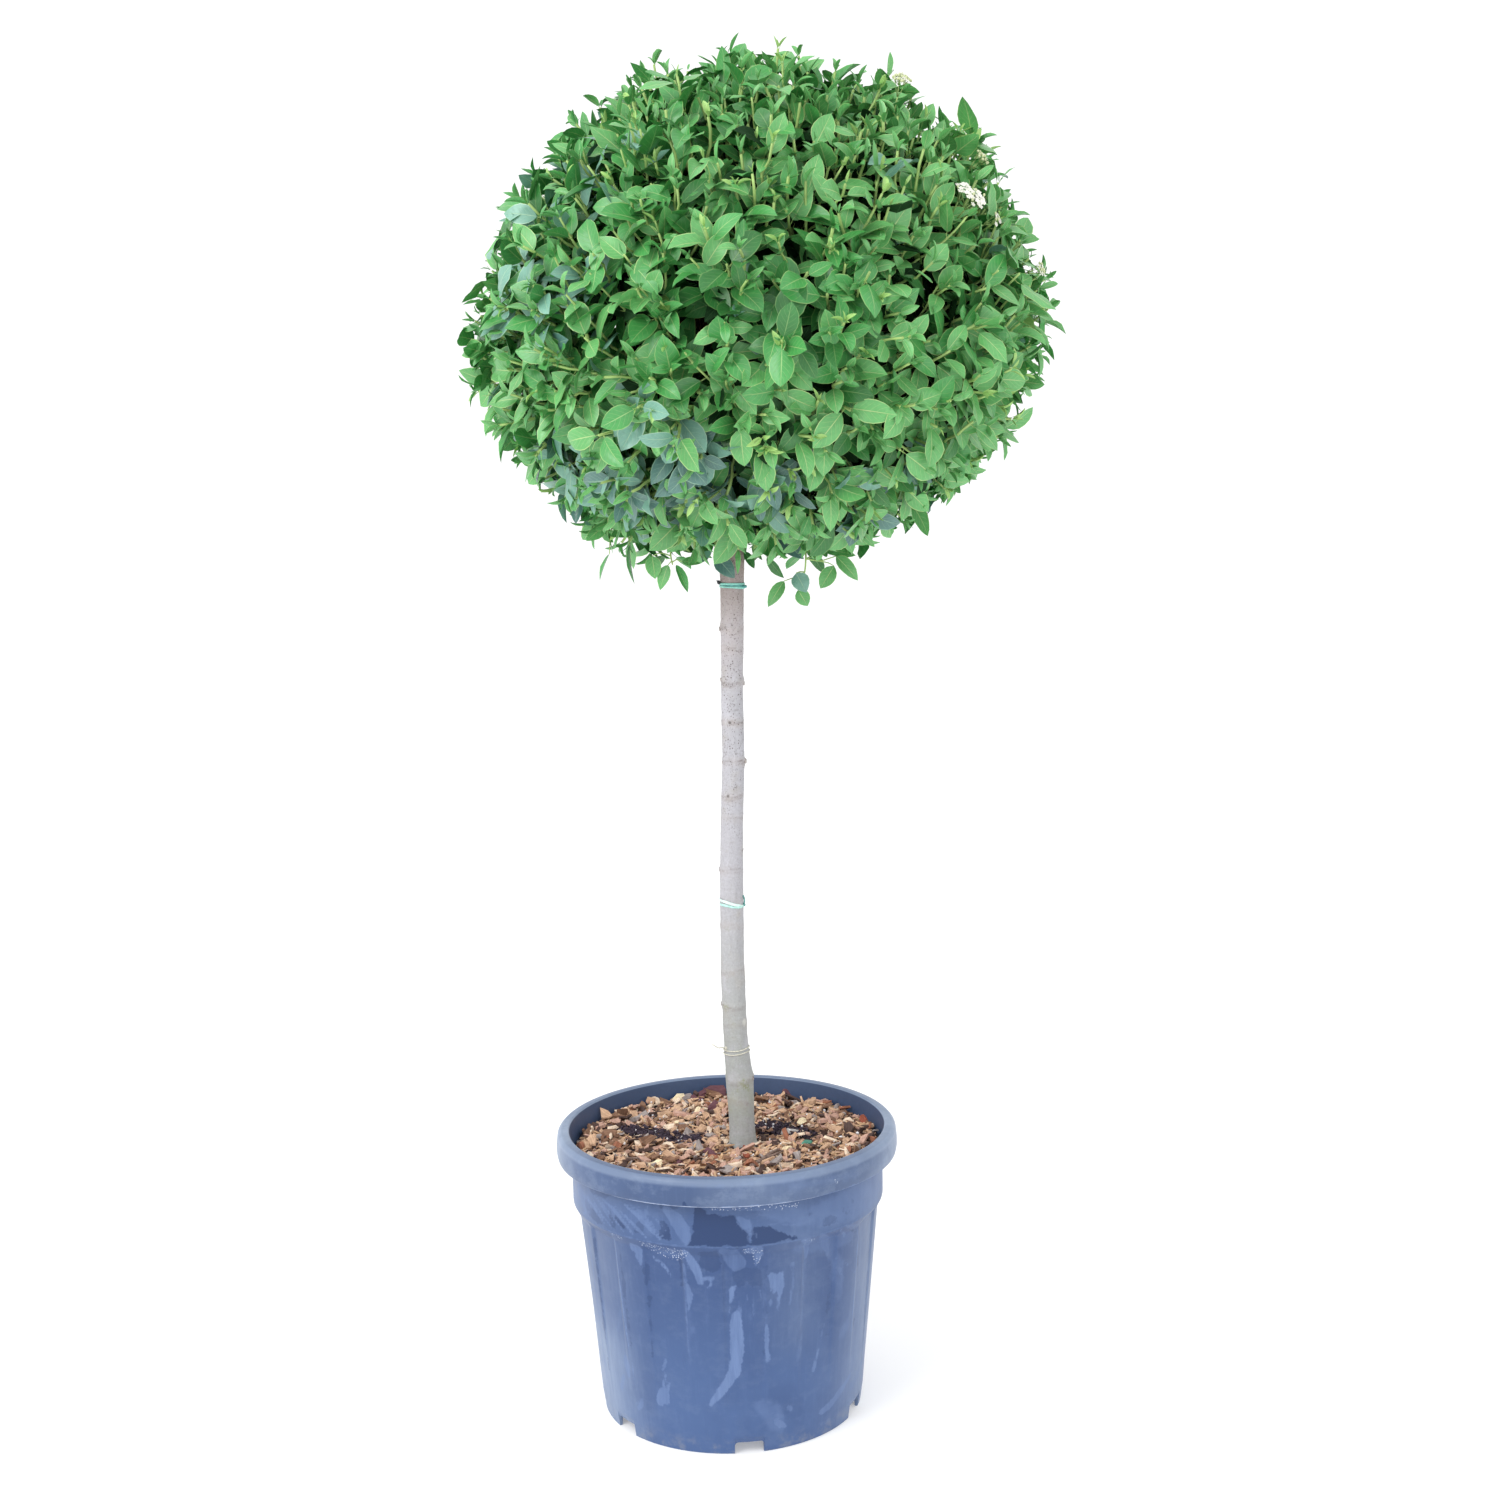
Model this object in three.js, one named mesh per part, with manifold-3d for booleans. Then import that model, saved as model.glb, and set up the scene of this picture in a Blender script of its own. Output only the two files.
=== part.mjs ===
// Standard (lollipop) laurustinus: a clipped ball of evergreen foliage on one
// clear stem, growing in a round nursery container topped with bark mulch.
// Millimetres, +Z up. The origin is the centre of the container's flat foot,
// and -Y is the side that the plant is shown from.
import * as THREE from 'three';
import { mergeVertices } from 'three/addons/utils/BufferGeometryUtils.js';
import Module from 'manifold-3d';

// ---------------------------------------------------------------- dimensions
const GAP = 0.35;                 // clearance between touching pieces

// container: 35 litre class, 400 across the rim
const RIM_TOP = 334.8;            // height of the rim
const RIM_R = 200;                // widest radius of the rolled rim
const MOUTH_R = 185.3;            // radius of the mouth
const SKIRT_Z = 303.4;            // lower edge of the rim's skirt
const BAND_R = 183;               // plain band under the rim
const BAND_Z = 251.7;             // lower edge of the band
const BODY_R = 176.8;             // top of the tapering body
const BODY_Z = 240.5;
const FOOT_R = 152.7;             // foot ring
const FOOT_H = 14.5;              // height of the raised floor's underside
const WALL = 3.4;
const PAD_R = 46;                 // flat pad in the middle of the floor
const FLUTES = 12;                // broad shallow flutes, deepest under the band
const FLUTE_AZ = 5;               // degrees, from the front
const FLUTE_DEPTH = 1.6;
const FLUTE_LOW_Z = 50;           // where they die out
const POT_SIDES = FLUTES * 4;
const NOTCHES = 6;                // drainage notches in the foot ring
const NOTCH_AZ = 6.3;             // degrees, from the front
const NOTCH_W = 33;
const NOTCH_H = 13;

// bark mulch and potting mix
const MULCH_Z = 309;              // mean level of the surface
const MULCH_BUMP = 3.6;
const STEM_SEAT_Z = 305.5;        // flat seat of the stem in the mulch
const STEM_SEAT_R = 24;

// stem: centre line and radius against height
const STEM_SIDES = 10;
const STEM_FOOT_Z = STEM_SEAT_Z + GAP;
const STEM_TOP_Z = 1066;
const STEM_LINE = [               // z, x, y
  [306, 18.8, 0], [330, 18.1, 0.4], [359, 17.4, 0.8], [390, 16.6, 1.0], [419, 14.2, 0.6],
  [447, 12.6, 0], [515, 11.8, -1.2], [603, 12.3, -2.2], [697, 15.3, -1.6], [764, 18.3, -0.4],
  [848, 19.0, 0.8], [911, 20.6, 1.2], [990, 22.0, 0.6], [1066, 23.5, 0],
];
const STEM_RADIUS = [             // z, radius
  [306, 19.0], [313, 16.6], [325, 15.3], [345, 15.0], [372, 15.6], [390, 16.2], [405, 15.0],
  [430, 14.1], [520, 13.6], [640, 13.2], [760, 12.7], [860, 12.6], [960, 13.2], [1010, 14.4],
  [1036, 17.0], [1052, 16.4], [1062, 12.4], [1066, 8.0],
];
const STEM_NODES = [360, 392, 454, 476, 517, 572, 604, 637, 698, 724, 764, 807, 856, 892, 915];
const NODE_SWELL = 1.3;
const NODE_HALF = 5;

// clipped ball of foliage
const CROWN_C = [60, 4, 1253];    // centre
const CROWN_A = 336;              // half width, side to side
const CROWN_B = 327;              // half depth, front to back
const CROWN_UP = 309;             // centre to top
const CROWN_DOWN = 276;           // centre to underside
const CROWN_POWER_UP = 1.76;      // how square the profile is above the waist
const CROWN_POWER_DOWN = 2.15;    // and below it
const CROWN_INSET = 11;           // clipped surface inside the furthest tips
const CROWN_FLOOR = 993;          // nothing of the ball hangs lower than this
const CROWN_SEG = [40, 24];
const SPRAY_COUNT = 110;          // shoots that stand out of the clipped surface
const SPRAY_HEIGHT = 17;
const SPRAY_SPREAD = 0.19;        // radians
const CROWN_SHOULDERS = [         // azimuth, elevation, height, spread (degrees, mm)
  [0, -4, 8, 8], [0, 14, 10, 6], [0, 38, 12, 7], [0, 55, 6, 6], [0, -20, -16, 9], [0, -44, 6, 7],
  [0, 23, -12, 5], [180, -4, 9, 7], [180, -33, 18, 7], [180, -54, 14, 7], [180, 66, 11, 7],
  [180, 56, 8, 6], [180, -27, -12, 5], [180, 28, -9, 8], [0, 88, -4, 14], [60, 10, 6, 18],
  [125, -8, 7, 18], [-60, -12, 5, 16], [-120, 20, 5, 14], [90, 35, 6, 16],
];
// hollow under the ball, where the stem forks
const HOLLOW = [                  // z, radius
  [960, 71], [1012, 69], [1044, 64], [1076, 52], [1098, 34], [1108, 16],
];
const HOLLOW_X = 22;

// boughs: [name, azimuth, elevation at the fork, start height, radius]
const BOUGH_SIDES = 8;
const BOUGH_TAPER = 0.68;
const BOUGHS = [
  ['bough_front_left', -128, 34, 1040, 8.0],
  ['bough_front_right', -52, 40, 1046, 7.6],
  ['bough_right', 8, 36, 1036, 8.2],
  ['bough_back_right', 66, 44, 1044, 7.4],
  ['bough_back_left', 122, 36, 1038, 7.8],
  ['bough_left', 184, 38, 1046, 8.0],
  ['bough_leader', -75, 84, 1052, 7.6],
];

// small sprays that hang below the ball: [name, centre, half size]
const SPRAYS = [
  ['hanging_spray_right', [108, -18, 974], [46, 32, 33]],
  ['hanging_spray_left', [-45, -14, 984], [34, 26, 24]],
];

// plastic ties on the stem: [name, height, band height, thickness, tilt in degrees, knot azimuth]
const TIES = [
  ['tie_upper', 965, 7, 1.2, 15, 172],
  ['tie_middle', 597, 5.4, 1.2, 14, 10],
  ['tie_lower', 425.5, 2.8, 1.4, 3, 190],
];

// ------------------------------------------------------------------ helpers
const wasm = await Module();
wasm.setup();
const RAD = Math.PI / 180;

function lookup(table, z, k = 1) {
  if (z <= table[0][0]) return table[0][k];
  for (let i = 1; i < table.length; i++) {
    const [z1] = table[i];
    if (z <= z1) {
      const [z0] = table[i - 1];
      return THREE.MathUtils.lerp(table[i - 1][k], table[i][k], (z - z0) / (z1 - z0));
    }
  }
  return table[table.length - 1][k];
}
function noise(i, salt) {         // repeatable number between 0 and 1
  const s = Math.sin(i * 12.9898 + salt * 78.233) * 43758.5453;
  return s - Math.floor(s);
}
function weld(geometry) {
  const g = geometry.clone();
  g.deleteAttribute('uv');
  g.deleteAttribute('normal');
  return mergeVertices(g, 1e-4);
}
function displace(geometry, move) {
  const p = geometry.attributes.position;
  const v = new THREE.Vector3();
  for (let i = 0; i < p.count; i++) {
    v.fromBufferAttribute(p, i);
    move(v, i);
    p.setXYZ(i, v.x, v.y, v.z);
  }
  return geometry;
}
function solid(geometry) {
  const g = weld(geometry);
  return new wasm.Manifold(new wasm.Mesh({
    numProp: 3,
    vertProperties: new Float32Array(g.attributes.position.array),
    triVerts: new Uint32Array(g.index.array),
  }));
}
function surface(manifold) {
  const m = manifold.getMesh();
  const g = new THREE.BufferGeometry();
  g.setAttribute('position', new THREE.BufferAttribute(new Float32Array(m.vertProperties), 3));
  g.setIndex(new THREE.BufferAttribute(new Uint32Array(m.triVerts), 1));
  g.computeVertexNormals();
  return g;
}
// closed body of revolution about +Z from [radius, z] pairs that start and end on the axis
function turned(profile, sides) {
  const g = new THREE.LatheGeometry(profile.map(([r, z]) => new THREE.Vector2(r, z)), sides);
  g.rotateX(Math.PI / 2);
  return g;
}
// lathe surfaces face out or in according to the direction of the profile
function outward(geometry) {
  const g = weld(geometry);
  const p = g.attributes.position, ix = g.index;
  const a = new THREE.Vector3(), b = new THREE.Vector3(), c = new THREE.Vector3();
  let volume = 0;
  for (let i = 0; i < ix.count; i += 3) {
    a.fromBufferAttribute(p, ix.getX(i));
    b.fromBufferAttribute(p, ix.getX(i + 1));
    c.fromBufferAttribute(p, ix.getX(i + 2));
    volume += a.dot(b.cross(c)) / 6;
  }
  if (volume < 0) {
    const arr = ix.array;
    for (let i = 0; i < arr.length; i += 3) [arr[i], arr[i + 1]] = [arr[i + 1], arr[i]];
  }
  // faces without area, left where a profile meets the axis
  const keep = [];
  for (let i = 0; i < ix.count; i += 3) {
    const [x, y, z] = [ix.getX(i), ix.getX(i + 1), ix.getX(i + 2)];
    if (x !== y && y !== z && x !== z) keep.push(x, y, z);
  }
  g.setIndex(keep);
  return g;
}

// ---------------------------------------------------------------- container
// turned so that each flute has two corners on its bed and two on the rib beside it
const POT_TURN = (FLUTE_AZ + 45 / FLUTES) * RAD;
function bodyRadius(z) {
  return lookup([[0, FOOT_R], [20, 155.6], [50, 158.2], [110, 164], [175, 170.4], [BODY_Z, BODY_R],
    [BAND_Z, BAND_R], [RIM_TOP, BAND_R]], z);
}
function innerRadius(z) {
  return lookup([[18, 151.6], [50, 158.2 - WALL], [110, 164 - WALL], [175, 170.4 - WALL],
    [BODY_Z, BODY_R - WALL], [BAND_Z, BAND_R - WALL], [300, BAND_R - WALL], [RIM_TOP, MOUTH_R]], z);
}
function container() {
  const floorTop = FOOT_H + WALL;
  const profile = [
    [0, 0], [PAD_R, 0], [PAD_R + 6, FOOT_H], [FOOT_R - WALL - 0.6, FOOT_H], [FOOT_R - WALL, 0],
    [FOOT_R, 0], [bodyRadius(20), 20], [bodyRadius(50), 50], [bodyRadius(110), 110],
    [bodyRadius(175), 175], [BODY_R, BODY_Z], [BAND_R, BAND_Z],
    [BAND_R, 302], [BAND_R + 1.4, 319], [RIM_R - 5.2, 319], [RIM_R - 4.4, SKIRT_Z],
    [RIM_R - 1.6, SKIRT_Z], [RIM_R, 311], [RIM_R, 318], [RIM_R - 1.4, 330.5],
    [RIM_R - 5, RIM_TOP - 0.6], [MOUTH_R + 2, RIM_TOP], [MOUTH_R, RIM_TOP - 1.5],
    [innerRadius(300), 300], [innerRadius(BAND_Z), BAND_Z], [innerRadius(BODY_Z), BODY_Z],
    [innerRadius(110), 110], [innerRadius(50), 50], [innerRadius(18), floorTop],
    [PAD_R + 4, floorTop], [PAD_R - 2, WALL], [0, WALL],
  ];
  const shell = turned(profile, POT_SIDES);
  shell.rotateZ(POT_TURN);
  displace(shell, (v) => {        // flutes on the outside of the body
    const r = Math.hypot(v.x, v.y);
    if (v.z < FLUTE_LOW_Z || v.z > BODY_Z + 1 || r < bodyRadius(v.z) - 1) return;
    const az = Math.atan2(v.x, -v.y) - FLUTE_AZ * RAD;
    if (Math.cos(az * FLUTES) < 0) return;
    const k = (r - (FLUTE_DEPTH * (v.z - FLUTE_LOW_Z)) / (BODY_Z - FLUTE_LOW_Z)) / r;
    v.x *= k;
    v.y *= k;
  });
  let body = solid(outward(shell));
  for (let i = 0; i < NOTCHES; i++) {
    const cut = new THREE.BoxGeometry(NOTCH_W, 16, NOTCH_H * 2);
    cut.translate(0, -FOOT_R, 0);
    cut.rotateZ((NOTCH_AZ + (i * 360) / NOTCHES) * RAD);
    body = body.subtract(solid(cut));
  }
  return surface(body);
}

// -------------------------------------------------------------------- mulch
function mulchLevel(x, y) {
  const r = Math.hypot(x - lookup(STEM_LINE, 306, 1), y);
  const wave = Math.sin(x * 0.043 + 1.1) * Math.cos(y * 0.051 - 0.4) + 0.6 * Math.sin(x * 0.11 - y * 0.09)
    + 0.4 * Math.cos(x * 0.19 + y * 0.17);
  const edge = THREE.MathUtils.smoothstep(Math.hypot(x, y), 90, 175);
  const z = MULCH_Z + MULCH_BUMP * wave * 0.5 + 2.6 * edge;
  return THREE.MathUtils.lerp(STEM_SEAT_Z, z, THREE.MathUtils.smoothstep(r, STEM_SEAT_R, STEM_SEAT_R + 16));
}
function mulch() {
  const rim = innerRadius(MULCH_Z + 3) - GAP;
  const radii = [0, 12, 24, 34, 54, 84, 118, 152, rim];
  const top = radii.map((r) => [r, 500 + r]).reverse();   // marked for the surface below
  const g = turned([
    [0, WALL + GAP], [PAD_R - 2.6, WALL + GAP], [PAD_R + 3.4, FOOT_H + WALL + GAP],
    [innerRadius(18) - GAP, FOOT_H + WALL + GAP],
    [innerRadius(BODY_Z) - GAP, BODY_Z], [innerRadius(BAND_Z) - GAP, BAND_Z], [innerRadius(300) - GAP, 300],
    ...top,
  ], POT_SIDES);
  g.rotateZ(POT_TURN);
  const sx = lookup(STEM_LINE, 306, 1);
  displace(g, (v) => {
    if (v.z < 400) return;
    const r = v.z - 500;
    const shift = 1 - THREE.MathUtils.smoothstep(r, 60, 150);   // rings gather round the stem
    const seat = r / Math.max(Math.hypot(v.x, v.y), 1e-9);
    v.x = v.x * (r > 0 ? seat : 0) + sx * shift;
    v.y = v.y * (r > 0 ? seat : 0);
    v.z = r <= 24.001 ? STEM_SEAT_Z : mulchLevel(v.x, v.y);
    if (r > rim - 1e-3) {          // the outer edge follows the flare of the wall
      const k = (innerRadius(v.z) - GAP) / Math.hypot(v.x, v.y);
      v.x *= k;
      v.y *= k;
    }
  });
  return outward(g);
}

// --------------------------------------------------------------------- stem
function stemRadius(z, azimuth) {
  let r = lookup(STEM_RADIUS, z);
  for (const [i, node] of STEM_NODES.entries()) {
    const d = Math.abs(z - node);
    if (d < NODE_HALF * 1.5) {
      const side = 0.65 + 0.35 * Math.cos(azimuth - noise(i, 3) * 6.283);
      r += NODE_SWELL * side * (0.5 + 0.5 * Math.cos((Math.min(d, NODE_HALF * 1.5) / (NODE_HALF * 1.5)) * Math.PI));
    }
  }
  return r;
}
function stemRows() {
  const rows = new Set([STEM_FOOT_Z, STEM_TOP_Z]);
  for (const [z] of STEM_RADIUS) if (z > STEM_FOOT_Z + 1) rows.add(z);
  for (const z of STEM_NODES) for (const d of [-7.5, 0, 7.5]) rows.add(z + d);
  const sorted = [...rows].sort((a, b) => a - b);
  return sorted.filter((z, i) => i === 0 || z - sorted[i - 1] > 2.5 || z === STEM_TOP_Z);
}
function stem(grow = 0, sides = STEM_SIDES) {
  const rows = stemRows();
  const g = new THREE.CylinderGeometry(1, 1, rows.length - 1, sides, rows.length - 1);
  g.rotateX(Math.PI / 2);
  displace(g, (v) => {
    const z = rows[Math.round(v.z + (rows.length - 1) / 2)];
    const rim = Math.min(1, Math.hypot(v.x, v.y));
    const az = Math.atan2(v.y, v.x);
    const r = (stemRadius(z, az) + grow) * rim;
    const end = z === STEM_TOP_Z ? grow : z === STEM_FOOT_Z ? -grow : 0;
    v.set(lookup(STEM_LINE, z, 1) + r * Math.cos(az), lookup(STEM_LINE, z, 2) + r * Math.sin(az), z + end);
  });
  return outward(g);
}

// -------------------------------------------------------------------- crown
const SPRAY_DIRS = [];
for (let i = 0; i < SPRAY_COUNT; i++) {
  const up = 1 - (2 * (i + 0.5)) / SPRAY_COUNT;
  const az = i * 2.399963 + noise(i, 1) * 0.5;
  const flat = Math.sqrt(1 - up * up);
  SPRAY_DIRS.push([new THREE.Vector3(flat * Math.cos(az), flat * Math.sin(az), up), SPRAY_HEIGHT * noise(i, 2)]);
}
const SHOULDER_DIRS = CROWN_SHOULDERS.map(([az, el, h, s]) => [
  new THREE.Vector3(Math.cos(el * RAD) * Math.cos(az * RAD), Math.cos(el * RAD) * Math.sin(az * RAD), Math.sin(el * RAD)),
  h, s * RAD,
]);
function crownRadius(d) {
  const n = d.z < 0 ? CROWN_POWER_DOWN : CROWN_POWER_UP;
  const flat = Math.hypot(d.x / CROWN_A, d.y / CROWN_B);
  const rise = Math.abs(d.z) / (d.z < 0 ? CROWN_DOWN : CROWN_UP);
  let r = (flat ** n + rise ** n) ** (-1 / n);
  let bump = 0;
  for (const [dir, h] of SPRAY_DIRS) {
    const a = d.angleTo(dir) / SPRAY_SPREAD;
    if (a < 3) bump = Math.max(bump, h * Math.exp(-a * a));
  }
  r += bump - CROWN_INSET;
  for (const [dir, h, s] of SHOULDER_DIRS) {
    const a = d.angleTo(dir) / s;
    if (a < 3) r += h * Math.exp(-a * a);
  }
  return r;
}
function ball(grow = 0) {
  const g = new THREE.SphereGeometry(1, CROWN_SEG[0], CROWN_SEG[1]);
  g.rotateX(Math.PI / 2);
  const d = new THREE.Vector3();
  displace(g, (v) => {
    d.copy(v).normalize();
    v.copy(d).multiplyScalar(crownRadius(d) + grow);
    v.x += CROWN_C[0];
    v.y += CROWN_C[1];
    v.z = Math.max(v.z + CROWN_C[2], CROWN_FLOOR + 5 * noise(Math.round(d.x * 40), Math.round(d.y * 40)) - grow);
  });
  return outward(g);
}
function hollow(shrink) {
  const rows = HOLLOW.map(([z, r]) => [r - shrink, z]);
  const top = HOLLOW[HOLLOW.length - 1][0] + 4 - shrink;
  const g = turned([[0, HOLLOW[0][0] - 10], [rows[0][0], HOLLOW[0][0] - 10], ...rows, [0, top]], 20);
  g.translate(HOLLOW_X, 0, 0);
  return outward(g);
}

// ------------------------------------------------------------------- boughs
function bough(azimuth, elevation, z0, radius) {
  const start = new THREE.Vector3(lookup(STEM_LINE, z0, 1), lookup(STEM_LINE, z0, 2), z0);
  const a = azimuth * RAD;
  const dir = (e) => new THREE.Vector3(Math.cos(e * RAD) * Math.cos(a), Math.cos(e * RAD) * Math.sin(a), Math.sin(e * RAD));
  const line = new THREE.CatmullRomCurve3([
    start,
    start.clone().addScaledVector(dir(elevation), 30),
    start.clone().addScaledVector(dir(elevation), 30).addScaledVector(dir(Math.min(86, elevation + 10)), 40),
    start.clone().addScaledVector(dir(elevation), 30).addScaledVector(dir(Math.min(86, elevation + 10)), 90),
  ]);
  const rows = 6;
  const g = new THREE.CylinderGeometry(1, 1, rows, BOUGH_SIDES, rows);
  g.rotateX(Math.PI / 2);
  const side = new THREE.Vector3(-Math.sin(a), Math.cos(a), 0);
  displace(g, (v) => {
    const t = THREE.MathUtils.clamp((v.z + rows / 2) / rows, 0, 1);
    const flat = Math.min(1, Math.hypot(v.x, v.y));
    const ang = Math.atan2(v.y, v.x);
    const collar = 1 + 0.35 * Math.exp(-t * 9);
    const r = radius * collar * THREE.MathUtils.lerp(1, BOUGH_TAPER, t) * flat;
    const p = line.getPoint(t), tan = line.getTangent(t);
    const up = new THREE.Vector3().crossVectors(tan, side).normalize();
    v.copy(p).addScaledVector(side, r * Math.cos(ang)).addScaledVector(up, r * Math.sin(ang));
  });
  return outward(g);
}

// ----------------------------------------------------- small hanging sprays
function spray(centre, half, salt) {
  const g = new THREE.SphereGeometry(1, 14, 9);
  g.rotateX(Math.PI / 2);
  displace(g, (v) => {
    const a = Math.atan2(v.y, v.x);
    const k = v.z > 0.3 ? 0.98 : 0.9 + 0.1 * Math.sin(a * 3 + salt) * Math.sqrt(Math.max(0, 1 - v.z * v.z))
      + 0.06 * Math.sin(a * 5 + v.z * 4 + salt);
    v.set(centre[0] + v.x * k * half[0], centre[1] + v.y * k * half[1], centre[2] + Math.max(v.z * k, -1) * half[2]);
  });
  return outward(g);
}

// --------------------------------------------------------------------- ties
function tie(z, height, thick, tilt, knotAz) {
  const inner = Math.max(stemRadius(z, 0), stemRadius(z - 6, 0), stemRadius(z + 6, 0)) + 0.9;
  const ring = new THREE.LatheGeometry([
    new THREE.Vector2(inner, -height / 2), new THREE.Vector2(inner + thick, -height / 2),
    new THREE.Vector2(inner + thick, height / 2), new THREE.Vector2(inner, height / 2),
    new THREE.Vector2(inner, -height / 2),
  ], 16);
  ring.rotateX(Math.PI / 2);
  const knot = new THREE.IcosahedronGeometry(1, 0);
  knot.scale(3.4, 3.0, Math.max(2.2, height * 0.5));
  knot.translate(inner + thick + 1.2, 0, 0);
  knot.rotateZ(knotAz * RAD);
  const g = surface(solid(outward(ring)).add(solid(outward(knot))));
  displace(g, (v) => { v.z -= v.x * Math.tan(tilt * RAD); });   // slipped down to one side
  g.translate(lookup(STEM_LINE, z, 1), lookup(STEM_LINE, z, 2), z);
  return g;
}

// ----------------------------------------------------------------- assembly
const paint = (color, roughness, metalness = 0) => new THREE.MeshStandardMaterial({ color, roughness, metalness });
const plastic = paint(0x5f74a6, 0.45);
const chips = paint(0xb98f66, 0.95);
const bark = paint(0xa8a39c, 0.85);
const wood = paint(0x7a6046, 0.85);
const leaf = paint(0x3f8f45, 0.5);
const tape = paint(0x6ec3ac, 0.5);
const string = paint(0xb9b88a, 0.7);

const plant = new THREE.Group();
const potGroup = new THREE.Group();
const crownGroup = new THREE.Group();
const tieGroup = new THREE.Group();
plant.add(potGroup, crownGroup, tieGroup);

function place(group, name, geometry, material) {
  const mesh = new THREE.Mesh(geometry, material);
  mesh.name = name;
  group.add(mesh);
}

place(potGroup, 'pot', container(), plastic);
place(potGroup, 'mulch', mulch(), chips);
place(plant, 'trunk', stem(), bark);

const grownStem = solid(stem(GAP, 24));
const cavity = solid(hollow(GAP + 0.1));
let taken = grownStem;
for (const [name, az, el, z0, radius] of BOUGHS) {
  const limb = solid(bough(az, el, z0, radius)).subtract(taken).intersect(cavity);
  place(crownGroup, name, surface(limb), wood);
  taken = taken.add(solid(bough(az, el, z0, radius + GAP)));
}
const ballSolid = solid(ball()).subtract(solid(hollow(0)));
place(crownGroup, 'crown_foliage', surface(ballSolid), leaf);
const grownBall = solid(ball(GAP + 0.3));
for (const [i, [name, centre, half]] of SPRAYS.entries()) {
  place(crownGroup, name, surface(solid(spray(centre, half, i * 2 + 1)).subtract(grownBall)), leaf);
}
for (const [name, z, height, thick, tilt, knotAz] of TIES) {
  place(tieGroup, name, tie(z, height, thick, tilt, knotAz), name === 'tie_lower' ? string : tape);
}

export default plant;
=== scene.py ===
# Standard laurustinus in a nursery container: the looks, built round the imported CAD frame.
# Lengths in the tables below are in millimetres, in the same frame as the CAD part.
import math

import bpy
import numpy as np
from mathutils import Matrix, Vector
from mathutils.bvhtree import BVHTree


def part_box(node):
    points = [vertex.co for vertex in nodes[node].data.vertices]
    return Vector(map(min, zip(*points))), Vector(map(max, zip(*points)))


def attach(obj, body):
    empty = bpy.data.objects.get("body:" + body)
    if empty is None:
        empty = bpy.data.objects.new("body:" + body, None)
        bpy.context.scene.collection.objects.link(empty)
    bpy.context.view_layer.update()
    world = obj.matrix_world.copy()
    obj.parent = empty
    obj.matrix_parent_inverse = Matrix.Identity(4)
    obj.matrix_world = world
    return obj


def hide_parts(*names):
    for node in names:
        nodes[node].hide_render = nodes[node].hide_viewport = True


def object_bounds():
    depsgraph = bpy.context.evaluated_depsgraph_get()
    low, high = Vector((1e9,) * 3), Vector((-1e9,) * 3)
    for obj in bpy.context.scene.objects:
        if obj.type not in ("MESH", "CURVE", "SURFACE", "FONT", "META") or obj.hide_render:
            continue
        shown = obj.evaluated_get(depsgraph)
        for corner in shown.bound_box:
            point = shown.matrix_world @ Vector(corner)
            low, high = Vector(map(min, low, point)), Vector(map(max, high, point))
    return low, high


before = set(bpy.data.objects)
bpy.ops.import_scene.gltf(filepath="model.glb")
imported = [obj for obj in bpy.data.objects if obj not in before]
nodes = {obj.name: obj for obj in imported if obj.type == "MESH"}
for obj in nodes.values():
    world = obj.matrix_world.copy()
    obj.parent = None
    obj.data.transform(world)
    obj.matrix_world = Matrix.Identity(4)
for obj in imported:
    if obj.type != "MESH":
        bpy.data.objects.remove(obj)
cad_lo, cad_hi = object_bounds()
cad_lo, cad_hi = list(cad_lo), list(cad_hi)

SEED = 4107
MM = 0.001
RAD = math.pi / 180
Z = np.array([0.0, 0.0, 1.0])

# ------------------------------------------------------------------- numbers
# stem: centre line (z, x, y) and radius (z, r), as in the CAD part
STEM_LINE = np.array([
    [306, 18.8, 0], [330, 18.1, 0.4], [359, 17.4, 0.8], [390, 16.6, 1.0], [419, 14.2, 0.6],
    [447, 12.6, 0], [515, 11.8, -1.2], [603, 12.3, -2.2], [697, 15.3, -1.6], [764, 18.3, -0.4],
    [848, 19.0, 0.8], [911, 20.6, 1.2], [990, 22.0, 0.6], [1066, 23.5, 0]], float)
STEM_RADIUS = np.array([
    [306, 17.4], [313, 16.0], [325, 15.2], [345, 15.0], [372, 15.6], [390, 16.2], [405, 15.0],
    [430, 14.1], [520, 13.6], [640, 13.2], [760, 12.7], [860, 12.6], [960, 13.2], [1010, 14.4],
    [1036, 17.0], [1052, 16.4], [1062, 12.4], [1066, 8.0]], float)
# swollen rings of the stem: height, swelling, side it leans to (degrees, 0 right, -90 front), darkness of its scar
STEM_NODES = [(362, 0.4, -90, 0.5), (388, 1.1, -20, 0.25), (454, 0.5, 10, 0.3), (477, 1.2, 175, 0.45), (517, 0.35, -100, 0.3), (572, 0.6, -110, 0.3),
              (604, 0.3, 60, 0.2), (637, 0.9, 170, 0.35), (698, 0.3, 0, 0.25), (724, 0.5, -100, 0.6), (763, 1.6, -5, 0.85), (808, 0.7, -95, 0.85),
              (855, 1.6, 15, 0.85), (893, 0.4, -110, 0.4), (915, 1.1, 180, 0.7)]
STEM_FOOT_Z, STEM_TOP_Z = 305.85, 1066.0

BOUGHS = [  # name, azimuth, elevation at the fork, start height, radius
    ("bough_front_left", -128, 34, 1040, 8.0),
    ("bough_front_right", -52, 40, 1046, 7.6),
    ("bough_right", 8, 36, 1036, 8.2),
    ("bough_back_right", 66, 44, 1044, 7.4),
    ("bough_back_left", 122, 36, 1038, 7.8),
    ("bough_left", 184, 38, 1046, 8.0),
    ("bough_leader", -75, 84, 1052, 7.6),
]

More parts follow.
